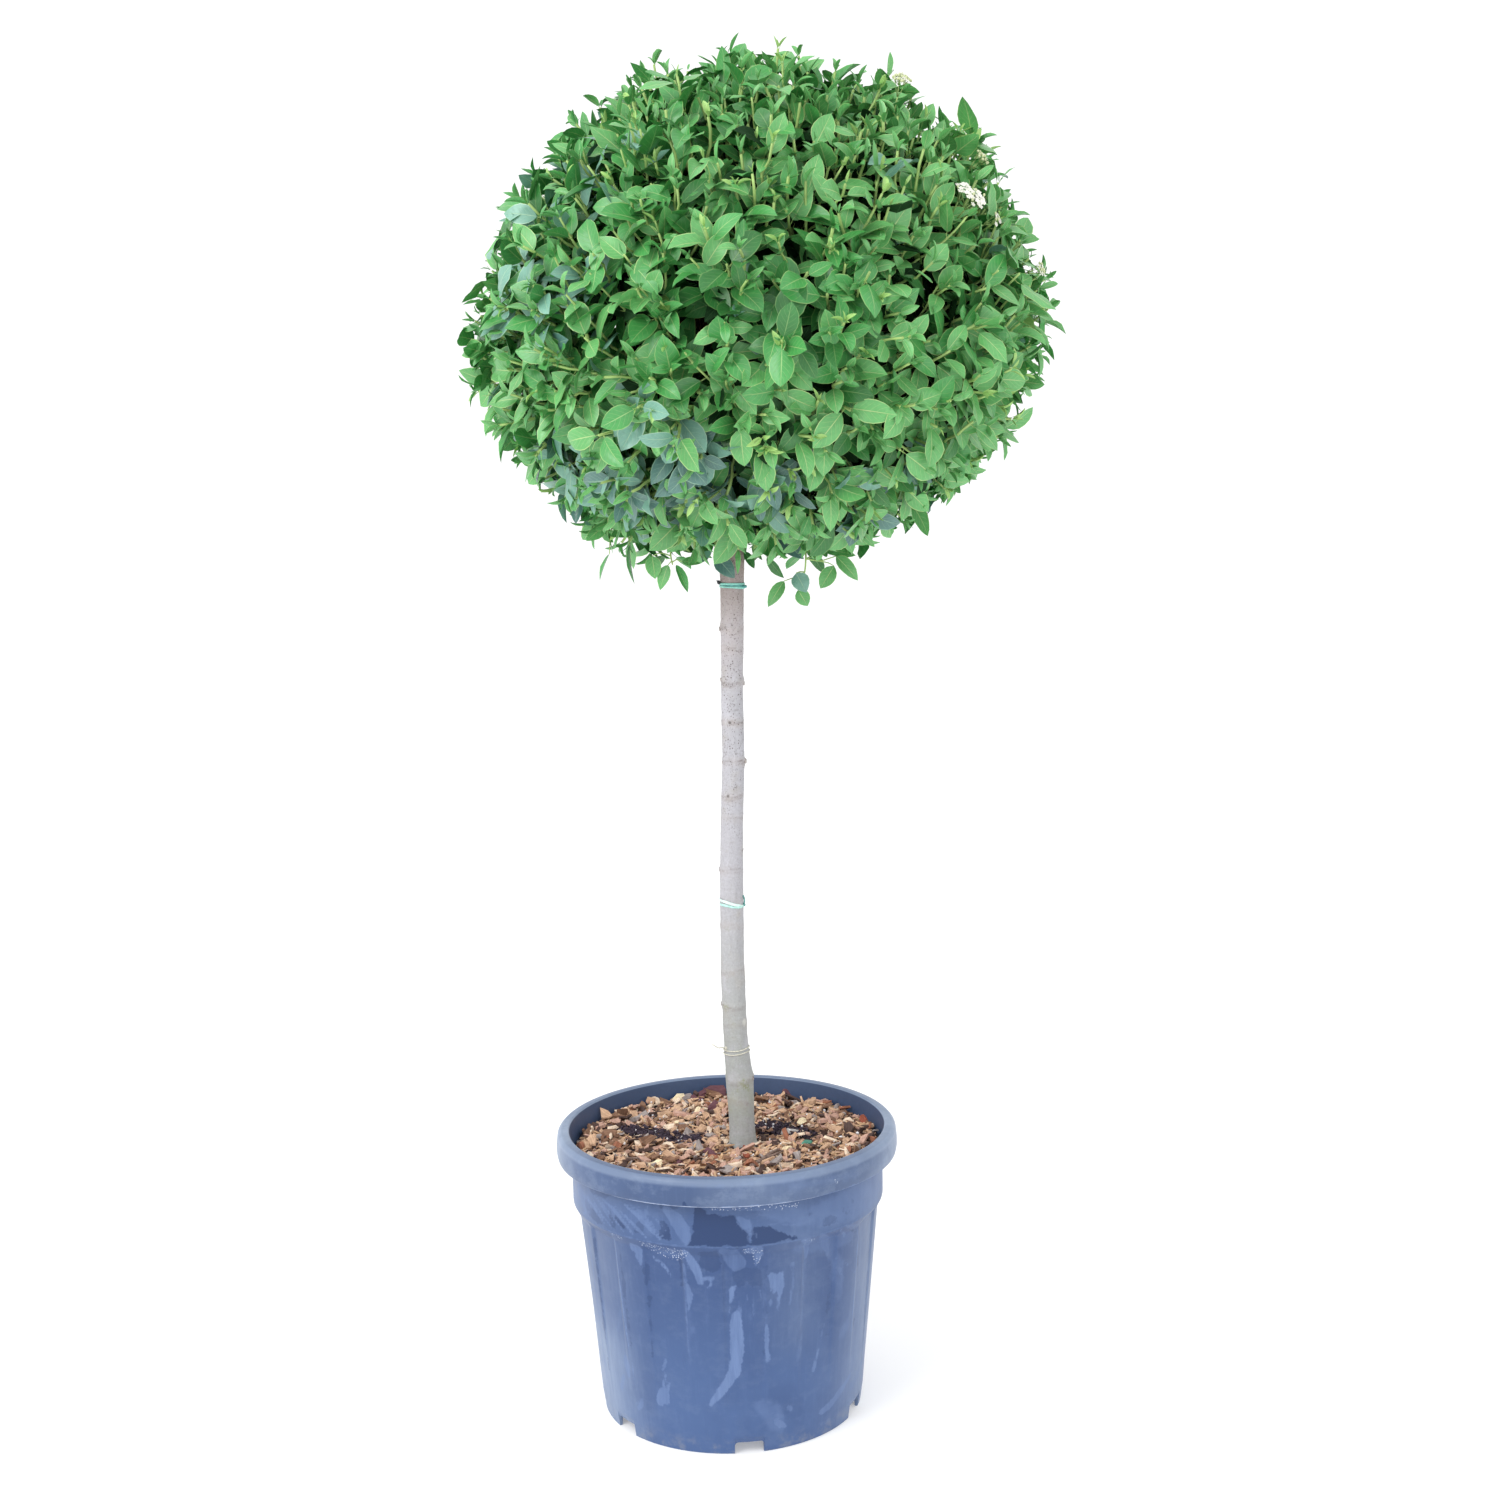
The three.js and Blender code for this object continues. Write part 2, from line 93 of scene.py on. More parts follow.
SHOOTS = 1360          # leafy shoot tips on the clipped surface
TWIGS = 190            # brown twigs that carry them
LIMBS = 34             # limbs that carry the twigs

# container
RIM_TOP, RIM_R, MOUTH_R = 334.8, 200.0, 185.3
BAND_R, BAND_Z, BODY_R, BODY_Z = 183.0, 251.7, 176.8, 240.5
FOOT_R, FOOT_H, WALL, PAD_R = 152.7, 14.5, 3.4, 46.0
FLUTES, FLUTE_DEPTH, FLUTE_AZ, FLUTE_HALF, FLUTE_LOW_Z = 12, 2.7, 5.0, 7.5, 50.0
NOTCHES, NOTCH_AZ, NOTCH_W, NOTCH_H = 6, 6.3, 33.0, 13.0
POT_PROFILE = [  # radius, height, easing of the corner, region
    (0, 0, 0, 0), (46, 0, 1.5, 0), (52, 14.5, 2, 0), (148.7, 14.5, 1.5, 0), (149.3, 0, 0.8, 0), (152.7, 0, 0.9, 1),
    (155.6, 20, 0, 2), (158.2, 50, 0, 2), (164.0, 110, 0, 2), (170.4, 175, 0, 2), (176.8, 240.5, 1.6, 2),
    (182.8, 251.7, 1.3, 3), (183, 302, 2, 3), (184.4, 319, 1, 3), (194.8, 319, 1, 4), (195.8, 303.4, 1, 4),
    (198.8, 303.4, 1.1, 4), (200.2, 309.5, 3, 4), (200.2, 318, 4, 4), (198.8, 330.5, 3, 4), (195, 334.2, 2, 4),
    (187.3, 334.8, 1.4, 4), (185.3, 333.3, 1.6, 4), (179.6, 300, 5, 5), (179.6, 262, 4, 5), (171.2, 240, 4, 5),
    (160.4, 110, 0, 5), (154.8, 50, 0, 5), (151.6, 17.9, 3, 5), (50, 17.9, 2, 6), (44, 3.4, 1.5, 6), (0, 3.4, 0, 6)]

# rubbed and dusty marks on the container, and painted highlights along some of its edges: strength, then (azimuth,
# height, width) along each
RUBS_AND_HIGHLIGHTS = [
    # long crescent in the front, its torn top and its neighbours
    (0.95, [(1.7, 169, 11), (1.8, 160, 14.5), (1.8, 142, 16), (1.7, 117, 15.5), (0.3, 99, 14), (-3.2, 84, 12), (-6.6, 71, 9.5), (-9.3, 61, 5)]),
    (0.9, [(1.9, 204.5, 3), (0.6, 200, 8), (0.3, 193, 5), (-0.4, 181, 2.4), (-0.9, 171, 1.6)]),
    (0.8, [(13.3, 156, 3), (13.2, 145, 5.2), (13.4, 128, 5.6), (14.0, 111, 5.8)]),
    (0.6, [(3.0, 185, 2), (3.2, 176, 4), (3.3, 165, 3)]),
    (0.45, [(6.0, 193, 2), (6.1, 184, 2.4)]), (0.4, [(8.4, 188, 2), (8.4, 167, 2.4)]),
    (0.45, [(10.9, 197, 2), (11.2, 184, 2.6)]), (0.3, [(6.7, 179, 2), (7.0, 156, 2.2)]),
    # blob with a drip
    (0.8, [(15.0, 213, 9), (16.3, 206, 14), (16.6, 200, 11)]), (0.8, [(18.3, 213, 8), (18.6, 200, 9), (18.1, 188, 5), (17.6, 169, 2.5)]),
    (0.7, [(15.3, 199, 7), (15.8, 193, 4)]), (0.6, [(14.4, 182, 6), (14.6, 178, 4)]),
    (0.5, [(23.0, 224, 4), (23.4, 202, 4.4), (22.3, 175, 2)]),
    # diagonal band and its hook, with the run below
    (0.8, [(-16.2, 246, 6), (-14.5, 236, 10), (-12.4, 224, 11), (-11.0, 209, 7)]),
    (0.7, [(-10.9, 212, 5), (-8.6, 214, 6), (-6.2, 215, 5), (-7.6, 205, 3), (-8.8, 201, 2)]),
    (0.45, [(-17.0, 229, 3), (-16.4, 211, 4)]), (0.75, [(-16.2, 205, 6), (-15.4, 193, 9), (-15.7, 182, 5), (-16.0, 173, 2)]),
    (0.25, [(-16.2, 173, 2), (-16.6, 110, 1.6)]), (0.3, [(-14.9, 152, 4), (-15.0, 149, 4)]),
    # scratches below the band
    (0.75, [(-29.5, 232, 3), (-26.0, 226, 4.6), (-23.8, 219, 4), (-22.4, 211, 2)]),
    (0.6, [(-37.6, 240, 10), (-34.8, 238, 9), (-35.2, 229, 9), (-34.4, 220, 4)]),
    (0.4, [(-2.6, 248, 8), (0.6, 240, 20), (2.4, 231, 20), (1.6, 224, 8)]),
    (0.65, [(6.6, 247, 9), (9.8, 246, 13), (10.4, 238, 9), (9.4, 227, 3)]),
    (0.6, [(26.6, 250, 6), (28.9, 246, 12), (29.1, 236, 9), (28.6, 224, 3)]),
    (0.45, [(34.6, 249, 7), (37.2, 240, 14), (38.8, 228, 8), (39.2, 221, 4)]),
    (0.6, [(43.3, 249, 3), (47.3, 237, 5)]), (0.4, [(46.6, 251, 4), (51.5, 244, 7)]),
    (0.5, [(40.7, 219, 2), (46, 209, 3.2), (50.7, 199, 3.4), (55.7, 184, 2)]), (0.5, [(43.2, 204, 4), (45.6, 198, 7), (46.7, 191, 3)]),
    # runs and drips lower down
    (0.35, [(28.5, 222, 4), (28.2, 190, 2.6), (27.3, 150, 2), (26.4, 92, 1.6)]),
    (0.4, [(38.9, 140, 2), (37.0, 118, 2.6)]), (0.7, [(36.4, 112, 3), (34.2, 87, 5.6)]),
    (0.35, [(53.6, 133, 4), (52.4, 124, 14), (50.4, 118, 14), (48.2, 115.5, 4)]),
    # low marks
    (0.7, [(-31.0, 57, 13), (-30.0, 68, 11), (-29.4, 74, 4), (-27.9, 90, 3)]), (0.7, [(-28.4, 58, 10), (-28.0, 68, 6), (-26.3, 81, 4)]),
    (0.6, [(-27.3, 108, 5), (-29.2, 95, 2.6)]), (0.3, [(-27.3, 133, 3), (-27.3, 124, 3)]),
    (0.55, [(-48.9, 96, 8), (-48.2, 86, 13), (-47.6, 75, 7)]), (0.5, [(-51.4, 71, 5), (-54.0, 53, 6)]),
    (0.6, [(-41.1, 51, 6), (-41.8, 44, 8), (-43.6, 38, 6)]), (0.55, [(-45.2, 42, 3), (-42.2, 48, 4)]),
    (0.35, [(-49.3, 153, 2), (-50.7, 135, 3), (-53.3, 124, 2)]),
    (0.36, [(11.0, 56, 16), (15.5, 44, 28), (18.6, 31, 22)]), (0.36, [(14.0, 58, 10), (18, 44, 16), (21, 32, 12)]), (0.42, [(15.6, 46, 5), (18, 42, 8), (20.4, 40, 4)]), (0.75, [(17.0, 36, 6), (19.2, 31, 10), (21.2, 28, 6)]),
    (0.5, [(23.0, 49, 6), (23.6, 46, 6)]), (0.3, [(22.7, 35, 2.5), (28.0, 32, 3)]),
    (0.6, [(38.9, 31, 7), (44.0, 33.5, 10), (50.5, 44, 10), (58.0, 56, 5)]), (0.35, [(38.7, 15, 4), (44.7, 16, 3)]),
    (0.3, [(60, 40, 12), (67.3, 48, 14), (75, 56, 10)]),
    (0.36, [(-82, 262, 16), (-74, 263, 13), (-68, 264, 6)]), (0.36, [(68, 270, 10), (74, 268, 16), (82, 268, 20)]),
    (0.34, [(-32, 246, 5), (-25, 241, 12), (-17, 241, 10)]),
    # the band under the rim: long slanting rubs
    (0.6, [(-50.5, 287, 3), (-44.5, 280, 5), (-39, 267, 4.6), (-36, 258, 3)]), (0.6, [(-47.5, 276, 2), (-43, 266, 3), (-40.6, 258, 2)]),
    (0.62, [(-43.3, 285, 3.2), (-35.3, 268.5, 5.4), (-30, 257, 3)]), (0.7, [(-39.3, 289.5, 3.4), (-34, 282, 6.4), (-28.7, 268.5, 5.6), (-24.7, 258, 3)]),
    (0.55, [(-36.7, 292, 2.6), (-31.4, 284, 5), (-27.3, 271, 4.6), (-23.6, 262, 2)]), (0.6, [(-29.3, 293, 3.4), (-30.7, 284, 3)]), (0.55, [(-62, 281, 4), (-55, 270, 5), (-50, 260, 3)]),
    (0.5, [(-33.5, 293, 2), (-25.6, 279, 3.2), (-22.4, 268, 2)]), (0.45, [(-57, 290, 2.4), (-50, 276, 3.4), (-45, 262, 2.4)]),
    (0.5, [(-66, 256, 3), (-60.5, 263, 4), (-58, 266, 2)]),
    (0.5, [(-22, 292, 9), (-18.6, 284, 15), (-16.4, 272, 17), (-15.2, 262, 12), (-15, 256, 5)]),
    (0.16, [(-50, 284, 20), (-38, 280, 30), (-27, 274, 30)]), (0.22, [(-60, 290, 12), (-30, 292, 10)]),
    (0.36, [(13, 289, 14), (20, 284, 22), (28, 276, 22), (34, 276, 30), (44, 276, 40), (56, 276, 42), (68, 276, 40), (78, 276, 30)]), (0.36, [(46, 278, 30), (58, 276, 34), (70, 274, 30)]),
    (0.3, [(25, 242, 14), (32, 238, 20), (42, 235, 22), (50, 234, 18)]), (0.3, [(41, 226, 16), (44, 205, 20), (45.5, 185, 18), (46, 165, 10)]),
    # pale lines along the edges of the flutes and the lip of the band: partly dust, partly painted highlight where
    # these edges catch the light
    (0.8, [(-46.6, 248, 2), (-47.2, 228, 3.4), (-46.8, 180, 3.2), (-45.8, 110, 2.8), (-43.6, 60, 1.6)]),
    (0.7, [(53.5, 246, 1.8), (56.6, 226, 3.2), (57.0, 170, 3.2), (56.0, 104, 2.8), (54.6, 74, 1.6)]),
    (0.55, [(-67.6, 226, 4), (-68, 140, 4), (-68.6, 40, 3)]), (0.5, [(-72.4, 220, 3), (-72.6, 60, 3)]), (0.45, [(27.8, 220, 2.4), (28.0, 170, 2.2), (27.6, 110, 1.8)]),
    (0.5, [(76, 224, 5), (76, 120, 4), (77, 50, 3)]), (0.4, [(-17.2, 226, 2), (-17.0, 150, 1.8), (-16.8, 110, 1.4)]),
    (0.5, [(-62, 292, 1.6), (-52, 270, 3), (-46, 258, 2)]), (0.45, [(-57, 294, 1.6), (-46, 272, 2.6), (-40, 258, 1.6)]), (0.5, [(-53, 294, 1.6), (-42, 272, 3), (-36, 260, 2)]),
    (0.4, [(10, 288, 2), (20, 282, 4), (30, 281, 3)]), (0.4, [(14, 276, 2), (24, 270, 4), (34, 274, 2)]), (0.4, [(36, 290, 2), (46, 280, 4), (54, 266, 2)]),
    (0.45, [(50, 292, 3), (58, 280, 5), (64, 262, 3)]),
    (0.35, [(69.0, 226, 3), (69.6, 160, 3), (71.0, 104, 2)]), (0.3, [(-60.6, 226, 2), (-61.2, 160, 2), (-63.4, 100, 1)]),
    (0.2, [(11.8, 222, 1.4), (12.4, 160, 1.4)]), (0.3, [(-1.6, 222, 1.6), (-1.8, 170, 1.4)]),
    (0.4, [(-120, 252.4, 1.5), (-80, 252.6, 1.7), (-60, 252.6, 1.7), (-30, 252.6, 1.7), (0, 252.6, 1.3), (30, 252.6, 1.6), (60, 252.6, 1.7), (90, 252.6, 1.6), (120, 252.6, 1.5)]),
    (0.5, [(3.4, 286, 5), (5.6, 278, 12), (7.0, 270, 8)]), (0.5, [(6.4, 264, 3), (6.6, 259, 4)]), (0.4, [(8.4, 268, 3), (9.4, 262, 2)]),
    (0.4, [(-6, 296, 3), (4, 296, 4), (14, 294.5, 7), (22, 292, 5)]),
    # rim; the lines along the lower edge of its skirt are painted highlight
    (0.2, [(20, 321, 8), (44, 318, 12)]), (0.3, [(-14, 328, 3), (24, 328, 4)]),
    (0.85, [(-34, 303.9, 1.6), (-22, 303.9, 2.2), (-8, 303.9, 1.4), (6, 303.9, 2.4), (20, 303.9, 1.4)]), (0.6, [(28, 303.9, 2), (44, 303.9, 2.4), (62, 303.9, 1.6)]),
    (0.5, [(-66, 303.9, 2), (-46, 303.9, 1.8)]),
]
CLEAN = [  # darker patches where the plastic was covered: strength, outline (azimuth, height)
    (1.0, [(-12.4, 300), (-10.4, 298.5), (-9.2, 293), (-7.4, 289.6), (-5, 292), (-3.3, 289.2), (-1, 290.4), (1.2, 287.6), (2.4, 281), (3.6, 276.8), (5.9, 271),
           (6.2, 264), (6.9, 258), (6.2, 253.6), (-14.6, 253.6), (-13.7, 258), (-13.4, 263.4), (-12.4, 268), (-12.6, 277), (-12, 286)]),
    (0.95, [(8.3, 276), (9.6, 274.4), (12, 271.5), (14.4, 270.4), (17.3, 266), (19.4, 261.6), (24, 256.4), (25, 254), (6.6, 253.6), (7.2, 260), (8.3, 266), (7.6, 271)]),
    (0.55, [(-35, 262), (-34, 272), (-31.4, 276), (-31, 268), (-32.6, 260)]), (0.5, [(-47.6, 268), (-46.6, 276), (-44.6, 270), (-43.4, 258), (-45.4, 257)]),
    (0.5, [(-60, 296), (-44, 297), (-43, 293), (-52, 288), (-58, 289)]), (0.45, [(-26, 299), (-14, 299.6), (-14.6, 294), (-24, 293.6)]),
    (0.85, [(-25.6, 264), (-24.6, 276), (-23.2, 280), (-21.6, 271), (-20.9, 261), (-23, 257.5)]),
    (0.6, [(34, 270), (38.2, 271.5), (41.6, 262), (37, 260), (34.4, 265)]),
    (0.5, [(-12, 246), (-8, 247.6), (-4, 247), (-3.2, 238), (-3.8, 226), (-6, 219), (-8, 217), (-9.4, 223), (-11, 228), (-10.4, 238)]),
    (0.3, [(0, 222), (3, 226), (7, 224), (12.4, 222), (12.0, 211), (12.6, 198), (10, 203), (8, 200), (6, 208), (4, 204), (2.6, 201), (1.6, 206), (0.4, 214)]),
    (0.4, [(-64, 277), (-58, 272.5), (-48.7, 256), (-60, 257), (-62.6, 262)]),
]
# dark lines: clean streaks, and painted shade along the shaded side of several flute edges: strength, then (azimuth,
# height, width) along each
CLEAN_AND_SHADE_LINES = [
    (0.8, [(-43.6, 271, 4), (-39.7, 262.6, 5)]), (0.6, [(43.3, 276, 2.4), (46.3, 265.6, 3.4)]), (0.6, [(45.5, 278.6, 2), (48.5, 263.6, 2.8)]),
    (0.5, [(48.4, 281.5, 2), (49.6, 275.6, 2)]), (0.6, [(29, 280, 4), (29.1, 279, 4)]), (0.55, [(-18.5, 241, 3), (-18, 205, 3)]),
    (0.6, [(48.7, 246, 3), (54.7, 234.6, 2)]), (0.7, [(29.5, 243, 4), (30.2, 238, 4)]), (0.9, [(-14, 310, 3), (-13.9, 303.8, 6)]),
    (0.6, [(33.4, 304.2, 1.6), (36.2, 304.2, 1.6)]), (0.5, [(-34.4, 228, 2), (-33, 204, 3.4), (-32, 178, 2)]),
    # painted shade down the shaded side of the flute edges
    (0.4, [(-62.6, 226, 3), (-63.4, 120, 2.6), (-64, 60, 2)]), (0.3, [(70.8, 226, 3.4), (71.4, 120, 3), (72, 50, 2)]), (0.35, [(41, 222, 2.6), (40.4, 120, 2)]),
    (0.4, [(-32.4, 226, 2.6), (-33, 110, 2)]), (0.35, [(-44.8, 226, 2.4), (-44, 110, 2)]), (0.35, [(59, 226, 2.6), (59, 110, 2)]), (0.3, [(12.6, 224, 2), (12.4, 120, 1.6)]),
]
# pale specks: partly dust grains, partly painted glints
SPECKLED = [(1.0, [(-33, 248, 6), (-29, 244.5, 12), (-24, 241.5, 16), (-19.5, 240.5, 17), (-16.5, 243, 10)]), (1.0, [(5.6, 246, 9), (10, 242, 12), (9.6, 230, 6)]),
            (0.8, [(8, 297, 4), (15, 294, 8), (24, 293, 7)]),
            (1.0, [(-6, 296.5, 3), (23, 293, 4)]), (0.8, [(35.8, 318, 3.4), (37, 313, 3)]), (0.8, [(27.5, 249, 4), (31, 247, 5)]),
            (0.7, [(-47, 250, 4), (-41, 248, 4)])]

# ------------------------------------------------------------------- helpers
def lin(r, g, b, k=1.0):
    """linear colour of an sRGB one, times k"""
    out = []
    for c in (r, g, b):
        c /= 255
        out.append(min(1.0, k * (c / 12.92 if c <= 0.04045 else ((c + 0.055) / 1.055) ** 2.4)))
    return tuple(out)


# leaf colours; blue and sky stand for the sheen of the sky on glossy leaves, a painted reflection, and shade for leaves
# in shadow deep inside, painted shade
LEAF = {"deep": lin(42, 111, 48), "mid": lin(66, 147, 73), "fresh": lin(93, 165, 93), "lime": lin(150, 194, 108),
        "blue_sheen": lin(78, 119, 111), "olive": lin(92, 136, 62), "sky_sheen": lin(110, 159, 141), "shade": lin(16, 50, 20)}
PLASTIC = lin(71, 95, 139)
PLASTIC_DEEP = lin(57, 79, 122)
PLASTIC_RUB_AND_HIGHLIGHT = lin(106, 128, 170)
PLASTIC_CLEAN_AND_SHADE = lin(38, 59, 99)
PLASTIC_BAND = lin(73, 95, 136)
PLASTIC_INNER_DIRT_AND_SHADE = lin(62, 78, 108)
PLASTIC_RIM = lin(65, 83, 118)
PLASTIC_DUST_AND_SHEEN = lin(148, 164, 188)
BARK_FOOT = lin(162, 165, 164)
BARK_LOW = lin(164, 166, 166)
BARK_MID = lin(173, 172, 178)
BARK_HIGH = lin(179, 172, 175)
BARK_CROWN = lin(124, 106, 90)


def unit(v):
    return v / np.maximum(np.linalg.norm(v, axis=-1, keepdims=True), 1e-9)


def dot(a, b):
    return (a * b).sum(-1, keepdims=True)


def smooth(x, a, b):
    t = np.clip((np.asarray(x, float) - a) / (b - a), 0, 1)
    return t * t * (3 - 2 * t)


def stem_at(z):
    return np.stack([np.interp(z, STEM_LINE[:, 0], STEM_LINE[:, 1]),
                     np.interp(z, STEM_LINE[:, 0], STEM_LINE[:, 2]), np.asarray(z, float)], -1)


class Soup:
    """vertices in millimetres, faces and corner UVs, gathered into one mesh"""

    def __init__(self):
        self.v, self.f, self.uv, self.attr, self.n = [], [], [], [], 0

    def add(self, verts, faces, uv=None, attr=None):
        """verts (N,3); faces a list of (M,k) index arrays; uv (N,2) and attr (N,) per vertex"""
        verts = np.asarray(verts, float).reshape(-1, 3)
        self.v.append(verts)
        self.uv.append(np.zeros((len(verts), 2)) if uv is None else np.asarray(uv, float).reshape(-1, 2))
        self.attr.append(np.zeros(len(verts)) if attr is None else np.asarray(attr, float).ravel())
        for f in faces:
            f = np.asarray(f, np.int64)
            if f.size:
                self.f.append(f + self.n)
        self.n += len(verts)

    def tris(self):
        return sum(len(f) * (f.shape[1] - 2) for f in self.f)

    def build(self, name, material, smoothed=True, attr_name=None, with_uv=True, attrs=None, sharp=None):
        co = np.concatenate(self.v) * MM
        flat = np.concatenate([f.ravel() for f in self.f])
        count = np.concatenate([np.full(len(f), f.shape[1]) for f in self.f])
        start = np.concatenate([[0], np.cumsum(count)[:-1]])
        me = bpy.data.meshes.new(name)
        me.vertices.add(len(co))
        me.vertices.foreach_set("co", co.astype(np.float32).ravel())
        me.loops.add(len(flat))
        me.loops.foreach_set("vertex_index", flat.astype(np.int32))
        me.polygons.add(len(count))
        me.polygons.foreach_set("loop_start", start.astype(np.int32))
        me.update(calc_edges=True)
        me.polygons.foreach_set("use_smooth", np.full(len(count), bool(smoothed)))
        if with_uv:
            uv = me.uv_layers.new(name="OFBake")
            uv.data.foreach_set("uv", np.concatenate(self.uv)[flat].astype(np.float32).ravel())
        if attr_name:
            a = me.attributes.new(attr_name, "FLOAT", "POINT")
            a.data.foreach_set("value", np.concatenate(self.attr).astype(np.float32))
        for key, values in (attrs or {}).items():
            a = me.attributes.new(key, "FLOAT", "POINT")
            a.data.foreach_set("value", np.asarray(values, np.float32))
        me.validate()
        if sharp:
            me.set_sharp_from_angle(angle=sharp * RAD)
        ob = bpy.data.objects.new(name, me)
        bpy.context.scene.collection.objects.link(ob)
        me.materials.append(material)
        return ob


def place(ob, slot, *replaced):
    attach(ob, "root")
    if replaced:
        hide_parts(*replaced)
    return ob


def tube(paths, radii, sides, ref=None):
    """closed tubes: paths (K,M,3), radii (K,M). Returns verts, faces, uv"""
    paths = np.asarray(paths, float)
    k, m, _ = paths.shape
    radii = np.broadcast_to(np.asarray(radii, float), (k, m))
    tan = unit(np.gradient(paths, axis=1))
    if ref is None:
        ref = np.where(np.abs(tan[:, :1, 2:3]) > 0.8, np.array([1.0, 0.3, 0]), Z + np.array([0.1, 0.2, 0]))
    side = unit(ref - dot(ref, tan) * tan)
    other = np.cross(tan, side)
    a = np.arange(sides) * 2 * math.pi / sides
    ring = (side[:, :, None] * np.cos(a)[None, None, :, None] + other[:, :, None] * np.sin(a)[None, None, :, None])
    v = paths[:, :, None] + ring * radii[:, :, None, None]
    v = v.reshape(k, m * sides, 3)
    ends = np.stack([paths[:, 0] - tan[:, 0] * radii[:, :1] * 0.3, paths[:, -1] + tan[:, -1] * radii[:, -1:] * 0.5], 1)
    v = np.concatenate([v, ends], 1)
    n = m * sides + 2
    i = np.arange(m - 1)[:, None] * sides + np.arange(sides)[None]
    j = np.arange(m - 1)[:, None] * sides + (np.arange(sides)[None] + 1) % sides
    quad = np.stack([i, j, j + sides, i + sides], -1).reshape(-1, 4)
    s = np.arange(sides)
    e = (s + 1) % sides
    t0 = np.stack([e, s, np.full(sides, m * sides)], -1)
    last = (m - 1) * sides
    t1 = np.stack([last + s, last + e, np.full(sides, m * sides + 1)], -1)
    off = (np.arange(k) * n)[:, None, None]
    faces = [(quad[None] + off).reshape(-1, 4), (np.concatenate([t0, t1])[None] + off).reshape(-1, 3)]
    uv = np.zeros((k, n, 2))
    uv[:, :m * sides, 0] = np.repeat(np.linspace(0, 1, m), sides)[None]
    uv[:, :m * sides, 1] = np.tile(np.abs(np.arange(sides) / sides * 2 - 1), m)[None]
    uv[:, -1, 0] = 1
    return v.reshape(-1, 3), faces, uv.reshape(-1, 2)


def bezier(p0, p1, p2, p3, m):
    t = np.linspace(0, 1, m)[None, :, None]
    p0, p1, p2, p3 = [np.asarray(p, float)[:, None] for p in (p0, p1, p2, p3)]
    return (1 - t) ** 3 * p0 + 3 * (1 - t) ** 2 * t * p1 + 3 * (1 - t) * t * t * p2 + t ** 3 * p3


def lattice(turn, v, around, high, seed):
    """smooth value noise from 0 to 1, closed round a turn, in cells this many mm high"""
    g = np.random.default_rng(seed).random((around, 1024))
    x = (np.asarray(turn, float) % 1.0) * around
    y = np.asarray(v, float) / high + 400
    i, j = np.floor(x).astype(int), np.floor(y).astype(int)
    fx, fy = x - i, y - j
    fx, fy = fx * fx * (3 - 2 * fx), fy * fy * (3 - 2 * fy)
    a, b = i % around, (i + 1) % around
    c, d = j % 1024, (j + 1) % 1024
    return (g[a, c] * (1 - fx) + g[b, c] * fx) * (1 - fy) + (g[a, d] * (1 - fx) + g[b, d] * fx) * fy


def cluster(points, k, rng, rounds=14):
    """seeded k-means: label of each point, and the centres"""
    centres = points[rng.choice(len(points), k, replace=False)].copy()
    for _ in range(rounds):
        label = ((points[:, None] - centres[None]) ** 2).sum(-1).argmin(1)
        for c in range(k):
            mine = points[label == c]
            if len(mine):
                centres[c] = mine.mean(0)
    label = ((points[:, None] - centres[None]) ** 2).sum(-1).argmin(1)
    return label, centres


